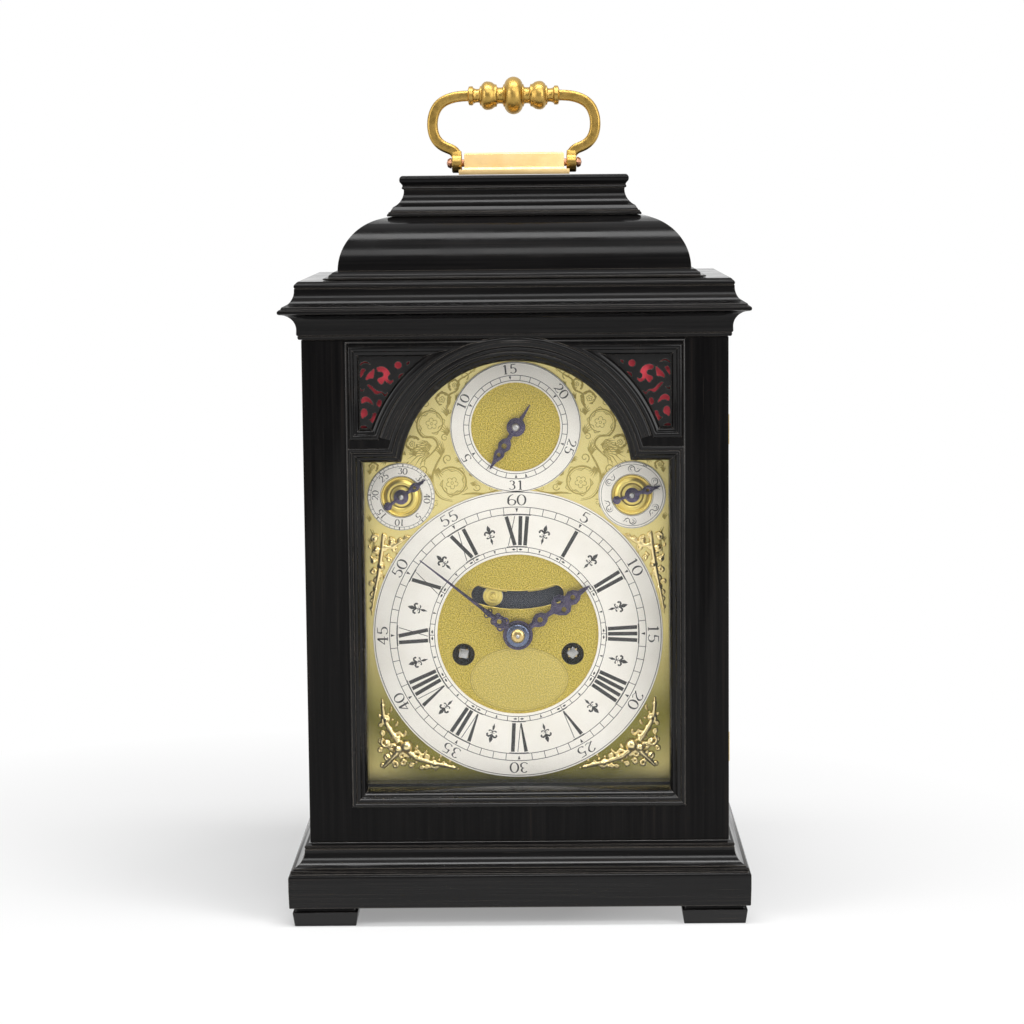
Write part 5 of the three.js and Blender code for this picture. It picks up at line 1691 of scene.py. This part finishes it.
# %% [markdown]
# ## Cast corner pieces
# The spandrels are castings: fat scrolls that grow out of each other, with leaves between.
# Thick strokes of the pen give the scrolls, and small domes the bosses. A voxel remesh then
# melts them into one skin, as molten brass would, and a little smoothing rounds the meeting
# places. The left ones are modelled, the right ones are mirrored.

# %% Scrolls that melt together
def spiral(x, z, size, start, way=1, half=0.8):
    """A scroll from its outer end inwards, with a thicker eye."""
    line = []
    for i in range(25):
        part = i / 24
        a = math.radians(start + way * 380 * part)
        r = size * (1 - 0.8 * part)
        line.append((x + r * math.cos(a), z + r * math.sin(a), half * (1 + 0.25 * part)))
    return line


def cast_leaf(x, z, long, bearing, half=0.9):
    a = math.radians(bearing)
    return [(x, z, half * 0.6), (x + long * 0.35 * math.cos(a), z + long * 0.35 * math.sin(a),
                                 half),
            (x + long * 0.75 * math.cos(a + 0.2), z + long * 0.75 * math.sin(a + 0.2), half * 0.75),
            (x + long * math.cos(a + 0.45), z + long * math.sin(a + 0.45), half * 0.25)]


SCROLL_Y, BOSS_Y = -50.95, -50.7
MELT, THICKER = 0.3, 1.12


def cast(name, strokes, domes):
    """strokes as for the pen; domes: (x, z, half width, height) in mm."""
    piece = laid(name, SCROLL_Y, strokes, roundness=2, swell=THICKER)
    rounds = []
    for x, z, wide, high in domes:
        bpy.ops.object.select_all(action="DESELECT")
        bpy.ops.mesh.primitive_uv_sphere_add(segments=24, ring_count=12, radius=1,
                                             location=(x * MM, BOSS_Y * MM, z * MM))
        ball = bpy.context.object
        ball.scale = (wide * MM, high * MM, wide * MM)
        rounds.append(settle(ball))
    piece = joined(piece, *rounds)
    weld(piece)
    modify(piece, "REMESH", mode="VOXEL", voxel_size=MELT * MM)
    modify(piece, "SMOOTH", factor=0.5, iterations=1)
    modify(piece, "DECIMATE", ratio=0.5)
    print(name, "stands", round(-min(v.co.y for v in piece.data.vertices) * 1000 - 50, 2),
          "mm off the plate")
    return piece


def petals(x, z, count, inner, outer, half, start):
    strokes = []
    for i in range(count):
        a = math.radians(start + 360 / count * i)
        middle = (inner + outer) / 2
        strokes.append([(x + inner * math.cos(a), z + inner * math.sin(a), half * 0.7),
                        (x + middle * math.cos(a), z + middle * math.sin(a), half),
                        (x + outer * math.cos(a), z + outer * math.sin(a), half * 0.55)])
    return strokes


# %% [markdown]
# ### The lower castings
# The lower corner is nearly square, so its casting grows from a boss near the middle: one
# arm climbs, one runs along the foot, and one short one points to the corner.

# %% Lower left
lower_strokes = [
    [(-79.0, 124.6, 0.5), (-79.0, 123.2, 0.8), (-79.0, 121.8, 0.5)],
    [(-70, 99, 1.6), (-73.4, 104, 1.4), (-76.4, 109, 1.2), (-78.4, 115, 1.1), (-79, 120.4, 0.9)],
    [(-66, 95, 1.6), (-60, 89.6, 1.4), (-52, 87.0, 1.2), (-45, 85.6, 1.1), (-37, 83.6, 0.8)],
    [(-68, 96, 1.6), (-72.4, 91, 1.6), (-76, 87.4, 1.3), (-79.4, 84, 0.9)],
    spiral(-76.8, 112.4, 3.3, 300, -1, 0.75), spiral(-79.4, 104.6, 1.5, 260, 1, 0.7),
    spiral(-75.2, 107.0, 1.7, 200, 1, 0.7),
    spiral(-70.6, 102.0, 2.9, 20, 1, 0.8), spiral(-77.2, 98.8, 3.2, 120, 1, 0.85),
    spiral(-76.6, 90.6, 2.7, 60, -1, 0.8),
    spiral(-79.6, 85.2, 1.2, 0, 1, 0.65), spiral(-72.2, 85.6, 2.1, 150, -1, 0.75),
    spiral(-67.2, 86.6, 1.9, 20, 1, 0.75),
    spiral(-59.2, 90.4, 3.2, 150, -1, 0.8), spiral(-62.6, 85.2, 1.5, 20, 1, 0.7),
    spiral(-53.6, 90.4, 1.4, 250, 1, 0.7),
    spiral(-49.2, 86.2, 3.1, 0, -1, 0.8), spiral(-56.6, 84.2, 1.2, 170, 1, 0.65),
    spiral(-43.2, 85.4, 1.8, 90, 1, 0.7),
    spiral(-80.6, 94.2, 1.5, 30, 1, 0.65), spiral(-80.2, 109.2, 1.2, 30, 1, 0.6),
    spiral(-53.8, 84.0, 1.2, 30, 1, 0.6),
    spiral(-73.6, 96.6, 2.2, 200, 1, 0.8), spiral(-68.4, 91.2, 2.0, 80, -1, 0.75),
    spiral(-64.4, 91.2, 1.5, 80, 1, 0.7),
    cast_leaf(-74.6, 117.0, 3.4, 60, 0.8), cast_leaf(-72, 108.6, 3.4, 40, 0.8),
    cast_leaf(-66.6, 102.6, 3.6, 60, 0.9),
    cast_leaf(-60.6, 94.6, 3.2, 40, 0.9), cast_leaf(-55.4, 92.0, 3.0, 30, 0.8),
    cast_leaf(-46, 89.6, 3.0, 60, 0.8),
    cast_leaf(-40.4, 86.6, 2.6, 70, 0.7), cast_leaf(-80.6, 101, 3.0, 240, 0.8),
    cast_leaf(-80.8, 116, 2.6, 260, 0.7),
    *petals(-70.6, 102.0, 6, 2.6, 4.0, 0.8, 10), *petals(-59.2, 90.4, 6, 2.8, 4.2, 0.8, 20),
    *petals(-49.2, 86.2, 6, 2.9, 4.2, 0.8, 40), *petals(-76.8, 112.4, 5, 2.9, 4.2, 0.75, 0),
]
lower_domes = [(-65.4, 96.4, 3.7, 3.4), (-70.6, 95.0, 2.6, 2.6), (-78.8, 120.8, 1.5, 1.7),
               (-49.2, 86.2, 1.7, 2.3),
               (-70.6, 102.0, 1.0, 2.0), (-59.2, 90.4, 1.1, 2.1), (-38.4, 84.0, 1.4, 1.5),
               (-76.8, 112.4, 1.3, 2.2),
               (-77.2, 98.8, 1.2, 2.2), (-76.4, 90.6, 1.1, 2.1), (-35.4, 83.2, 0.7, 0.9),
               (-43.2, 85.4, 1.0, 1.6)]
lower = cast("spandrel_lower_left_cast", lower_strokes, lower_domes)
# %% [markdown]
# ### The upper castings
# The upper corner is a narrow wedge between the rings and the edge, so its casting is one
# long stem that thins downwards, with scrolls on both sides.

# %% Upper left, and the right-hand pair
upper_strokes = [
    [(-77, 221.4, 0.9), (-77.8, 213, 1.2), (-79, 205, 1.2), (-80.2, 197, 1.1), (-82, 189, 0.9),
     (-83.6, 180, 0.7), (-84.4, 173.6, 0.4)],
    [(-77.8, 213, 1.1), (-72, 213.6, 1.1), (-67, 216.6, 1.0), (-61.6, 219.6, 0.5)],
    spiral(-82.0, 218.4, 2.4, 20, 1, 0.75), spiral(-81.4, 212.2, 2.1, 200, 1, 0.75),
    spiral(-72.6, 216.6, 2.2, 120, -1, 0.75),
    spiral(-76.4, 219.6, 1.7, 330, -1, 0.7), spiral(-68.0, 217.0, 1.5, 90, -1, 0.65),
    spiral(-64.0, 218.8, 1.2, 0, 1, 0.55),
    spiral(-70.8, 212.2, 1.7, 90, -1, 0.7), spiral(-76.2, 212.6, 2.0, 0, 1, 0.75),
    spiral(-82.8, 205.4, 1.8, 0, 1, 0.7),
    spiral(-78.2, 202.0, 2.5, 60, 1, 0.8), spiral(-74.0, 206.2, 1.6, 270, 1, 0.65),
    spiral(-83.4, 199.4, 1.7, 90, -1, 0.7),
    spiral(-79.6, 197.4, 1.6, 90, -1, 0.65), spiral(-81.4, 194.2, 1.7, 0, 1, 0.7),
    spiral(-84.6, 192.2, 1.2, 0, 1, 0.6),
    spiral(-81.8, 189.2, 1.4, 90, 1, 0.65), spiral(-84.2, 186.2, 1.2, 90, -1, 0.6),
    spiral(-83.8, 182.2, 1.3, 0, 1, 0.6),
    spiral(-84.4, 177.4, 1.0, 0, 1, 0.5),
    cast_leaf(-84.4, 208.6, 2.6, 280, 0.7), cast_leaf(-76.4, 207.6, 3.4, 20, 0.8),
    cast_leaf(-85.4, 214.6, 2.6, 280, 0.7),
    cast_leaf(-78.4, 208.6, 3.4, 160, 0.8), cast_leaf(-77.4, 194.8, 2.2, 60, 0.6),
    cast_leaf(-70, 209.4, 2.4, 330, 0.6),
]
upper_domes = [(-81.4, 212.2, 1.3, 2.2), (-72.6, 216.6, 1.2, 2.1), (-78.2, 202.0, 1.4, 2.4),
               (-81.8, 189.2, 0.9, 1.6),
               (-82.0, 218.4, 1.0, 1.9), (-82.8, 205.4, 0.9, 1.7)]
upper = cast("spandrel_upper_left_cast", upper_strokes, upper_domes)
for level, left in (("lower", lower), ("upper", upper)):
    right = mirror_copy(left)
    dress(left, f"spandrel_{level}_left_cast", "case", gilded_casting,
          [f"spandrel_{level}_left"], angle=60)
    dress(right, f"spandrel_{level}_right_cast", "case", gilded_casting,
          [f"spandrel_{level}_right"], angle=60)


# %% [markdown]
# ## The handle
# The bail is one brass rod, bent at both ends and turned into a baluster in the middle. The
# bent part is a curve through the rod's centre line, with a nearly square, well rounded
# section as its bevel. The baluster is a section spun about the rod's own level line. Each
# end is forged into an eye that turns on its pin.

# %% The rod's line, the baluster's section
BAIL_TOP = 471.9
BAIL = [(24, 471.9), (31, 471.9), (36.4, 470.9), (41, 469), (44.4, 466.2), (46.4, 462.4),
        (47.4, 458.6), (47.6, 454.6),
        (47.2, 451.2), (46.2, 448), (44.6, 445.6), (42.6, 443.7), (40.6, 442.5), (38.4, 441.6),
        (36.6, 440.9), (35, 439.8),
        (34.2, 438.8), (33.8, 437.6)]
TURNING = [(10.9, 0), (10.85, 0.9), (10.3, 2.6), (9.2, 4.0), (7.7, 5.0), (6.6, 5.3), (6.5, 5.8),
           (5.0, 6.3), (4.7, 7.2),
           (4.7, 8.8), (5.1, 9.5), (6.5, 9.9), (6.5, 10.7), (6.9, 11.4), (7.8, 12.6), (8.2, 14.2),
           (8.3, 15.6), (8.0, 16.9),
           (7.0, 18.1), (5.7, 18.9), (5.6, 19.5), (4.2, 19.9), (3.9, 20.6), (4.0, 22.0),
           (4.5, 23.2), (5.5, 23.8),
           (5.6, 24.8), (5.4, 26.0), (4.4, 26.4), (3.1, 26.8), (3.0, 28)]


print("the rod has", len(BAIL), "points and the baluster", len(TURNING))


# %% [markdown]
# ### Bending the rod
# A curve object bends as a smith bends a rod: the points give the line, and another small
# curve gives the section that is carried along it.

# %% Bending the rod
def bent_rod(name, points, half):
    """A rod of nearly square section, its corners well rounded."""
    edge = bpy.data.curves.new(f"{name}_edge", "CURVE")
    edge.dimensions = "2D"
    outline = edge.splines.new("POLY")
    corners = []
    for quarter in range(4):
        sx, sy = ((1, 1), (-1, 1), (-1, -1), (1, -1))[quarter]
        corners += [(x, y) for x, y in curl(sx * half * 0.45, sy * half * 0.45, half * 0.55,
                                            half * 0.55,
                                            quarter * 90, quarter * 90 + 90, 5)]
    outline.points.add(len(corners) - 1)
    for point, (x, y) in zip(outline.points, corners):
        point.co = (x * MM, y * MM, 0, 1)
    outline.use_cyclic_u = True
    profile = bpy.data.objects.new(f"{name}_edge", edge)
    bpy.context.scene.collection.objects.link(profile)
    rod = bpy.data.curves.new(name, "CURVE")
    rod.dimensions = "3D"
    rod.bevel_mode = "OBJECT"
    rod.bevel_object = profile
    rod.use_fill_caps = True
    spline = rod.splines.new("NURBS")
    spline.points.add(len(points) - 1)
    for point, place in zip(spline.points, points):
        point.co = (*[v * MM for v in place], 1)
    spline.order_u = 4
    spline.use_endpoint_u = True
    spline.resolution_u = 6
    piece = as_mesh(name, rod)
    bpy.data.objects.remove(profile)
    return weld(piece)


print("a rod is bent along its points")


# %% [markdown]
# ### Half a handle, and its mirror
# The right half is put together from the turned baluster, the bent rod, the eye and the
# short neck between rod and eye. Turned work is spun about a line that runs forwards, and
# is then laid over to run across. The left half is the mirror of it all.

# %% Put the bail together
def laid_across(section, height):
    piece = spun(section, 0, 0, steps=64)
    piece.rotation_euler = (0, 0, -math.pi / 2)
    piece.location = (0, 0, height * MM)
    return settle(piece)


PIVOT_Z = 433.0
ROD_HALF = 3.1
half_turning = laid_across([*TURNING, (0, 28)], BAIL_TOP)
right_arm = bent_rod("right_arm", [(x, 0, z) for x, z in BAIL], ROD_HALF)
ear_section = [(2.45, 30.6), (5.2, 30.6), (5.7, 31.1), (5.7, 35.8), (5.2, 36.3), (2.45, 36.3),
               (2.45, 30.6)]
eye = laid_across(ear_section, PIVOT_Z)
neck = block((5.7, 8.4, 5.2), (33.45, 0, 437.6))
with editing(neck):
    pick("FACE", lambda middle, face: middle.z > 440 * MM)
    bpy.ops.transform.resize(value=(0.95, 0.72, 1), center_override=(33.9 * MM, 0, 440 * MM))
modify(neck, "BEVEL", width=0.7 * MM, segments=3, limit_method="ANGLE")
half_bail = joined(half_turning, right_arm, eye, neck)
bail = joined(half_bail, mirror_copy(half_bail))
dress(bail, "handle_bail_turned", "handle", handle_brass, ["handle_bail"], angle=35)
softened("handle_plate", "handle_plate_filed", "case", plate_brass, 0.7, 3)


# %% [markdown]
# ## Winding squares
# Each fusee's arbor ends in a steel square for the key, a little behind the face of the
# dial. It is a block with its edges eased. The two squares stopped at different turns when
# the clock was last wound, so each has its own lean.

# %% Two winding squares
for name, side, lean in (("going", 1, 45), ("strike", -1, 12)):
    square = block((5.3, 8.4, 5.3), (0, -42.9, 0))
    modify(square, "BEVEL", width=0.5 * MM, segments=2, limit_method="ANGLE")
    square.location = (side * WINDING["x"] * MM, 0, WINDING["z"] * MM)
    square.rotation_euler = (0, math.radians(lean), 0)
    dress(square, f"{name}_winding_square", f"{name}_fusee_arbor", steel)


# %% [markdown]
# ## The room
# A white floor and a white surround, as for a catalogue. The floor is lit like any white
# thing, so it keeps the clock's soft shadow, and the camera sees it a little brighter than
# it is, so that away from the shadow it reaches clean white.

# %% Floor
def white_floor():
    finish = Finish("floor_white", Roughness=0.9)
    grain = finish.noise(3.0, 2, 0.5)
    finish.set(Base_color=finish.ramp(grain, (0.3, 0.86), (0.7, 0.88)))
    seen = finish.add("ShaderNodeLightPath")
    lift = finish.maths("MAXIMUM", seen.outputs["Is Camera Ray"], seen.outputs["Is Glossy Ray"])
    lift = finish.maths("MAXIMUM", lift, seen.outputs["Is Transmission Ray"])
    # The glow is seen by the camera, in reflections and through glass. It is measured from a point
    # 0.1 m to the left of the clock and is weakest there, so the floor on the right is painted
    # whiter sooner and the shade stays wider on the left.
    aside = finish.add("ShaderNodeMapping", Vector=finish.coords, Location=(0.10, 0.0, 0.0))
    away = finish.add("ShaderNodeVectorMath", Vector=aside.outputs["Vector"])
    away.operation = "LENGTH"
    share = finish.ramp(away.outputs["Value"], (0.14, 0.3), (0.50, 1.0))
    glow = finish.add("ShaderNodeEmission", Color=(1, 1, 1, 1), Strength=1.0)
    both = finish.add("ShaderNodeMixShader", Fac=finish.maths("MULTIPLY", lift, share))
    finish.tree.links.new(finish.shader.outputs[0], both.inputs[1])
    finish.tree.links.new(glow.outputs[0], both.inputs[2])
    out = finish.tree.nodes["Material Output"]
    finish.tree.links.new(both.outputs[0], out.inputs["Surface"])
    return finish.material


bpy.ops.object.select_all(action="DESELECT")
bpy.ops.mesh.primitive_plane_add(size=12, location=(0, 0, 0))
floor = bpy.context.object
floor.name = "floor"
floor.data.materials.append(white_floor())
print("floor laid")

# %% [markdown]
# ### The light of the surround
# The surround lights the clock only a little, so that the lamps draw its forms. To the
# camera, and through glass, it is plain white. In a mirror it is brighter towards the back
# and along a strip high up, which gives polished wood and metal something to reflect.

# %% Surround
ROOM_LIGHT = 0.18
STRIP_LIGHT = 0.7

world = bpy.data.worlds.new("white_room")
bpy.context.scene.world = world
world.use_nodes = True
room = Wiring(world.node_tree)
sky = room.tree.nodes["Background"]
path = room.add("ShaderNodeLightPath").outputs
heading = room.add("ShaderNodeSeparateXYZ",
                   Vector=room.add("ShaderNodeTexCoord").outputs["Generated"]).outputs
behind = room.add("ShaderNodeMapRange", Value=heading[1],
                  **{"From Min": -0.3, "From Max": 0.6}).outputs["Result"]
mirrored = room.maths("MULTIPLY", path["Is Glossy Ray"], behind)
strip = room.ramp(heading[2], (0.0, 0.0), (0.60, 0.0), (0.68, 1.0), (0.86, 1.0), (1.0, 0.0))
overhead = room.maths("MULTIPLY", room.maths("MULTIPLY", strip, path["Is Glossy Ray"]), STRIP_LIGHT)
shown = room.maths("ADD", overhead, mirrored)
for kind in ("Is Camera Ray", "Is Transmission Ray"):
    shown = room.maths("MAXIMUM", shown, path[kind])
lit = room.add("ShaderNodeMapRange", Value=shown,
               **{"To Min": ROOM_LIGHT, "To Max": 1.0}).outputs["Result"]
room.feed(sky.inputs["Strength"], lit)
room.feed(sky.inputs["Color"], (1, 1, 1, 1))
print("surround:", len(room.tree.nodes), "nodes")


# %% [markdown]
# ### Lamps
# Four soft lamps stand round the clock: one at each side, a long one above that lights the
# tops of the mouldings, and one high in front for the dial. Each is a flat panel turned to
# face the clock.

# %% Four soft lamps
def soft_lamp(name, place, aim, size, power):
    lamp = bpy.data.lights.new(name, "AREA")
    lamp.shape = "RECTANGLE"
    lamp.size, lamp.size_y = size
    lamp.energy = power
    stand = bpy.data.objects.new(name, lamp)
    bpy.context.scene.collection.objects.link(stand)
    stand.location = place
    stand.rotation_euler = (Vector(aim) - Vector(place)).to_track_quat("-Z", "Y").to_euler()


soft_lamp("lamp_right", (1.25, -1.1, 0.9), (0, 0, 0.22), (0.9, 1.3), 15)
soft_lamp("lamp_left", (-1.35, -0.9, 0.8), (0, 0, 0.22), (0.8, 1.2), 10)
soft_lamp("lamp_above", (0.0, -0.28, 1.55), (0, -0.05, 0.3), (1.4, 0.3), 15)
soft_lamp("lamp_front_high", (0.2, -1.7, 1.75), (0, 0, 0.2), (1.4, 0.5), 13)
print("lamps:", len(bpy.data.lights))

# %% [markdown]
# ## The camera
# It stands where the photograph was taken from: well back, a little above the dial and
# almost square on, with a long lens. The lens is given by its focal length in pixels of a
# picture 1024 pixels wide, and the stand by its place and three small angles.

# %% Camera
SENSOR, PICTURE, FOCAL_PIXELS = 36, 1024, 2837.4
STAND = (0.01412, -1.67233, 0.4253)
PAN, TILT_DOWN, LEAN = 0.0104, 0.1179, -0.0098

lens = bpy.data.cameras.new("camera")
lens.sensor_width = SENSOR
lens.lens = FOCAL_PIXELS * SENSOR / PICTURE
lens.clip_start = 0.05
camera = bpy.data.objects.new("camera", lens)
bpy.context.scene.collection.objects.link(camera)
turn = Matrix.Rotation(PAN, 4, "Z") @ Matrix.Rotation(math.pi / 2 - TILT_DOWN, 4, "X")
camera.matrix_world = Matrix.Translation(STAND) @ turn @ Matrix.Rotation(LEAN, 4, "Z")
bpy.context.scene.camera = camera
bpy.context.scene.view_settings.view_transform = "Standard"
print("lens", round(lens.lens, 1), "mm")
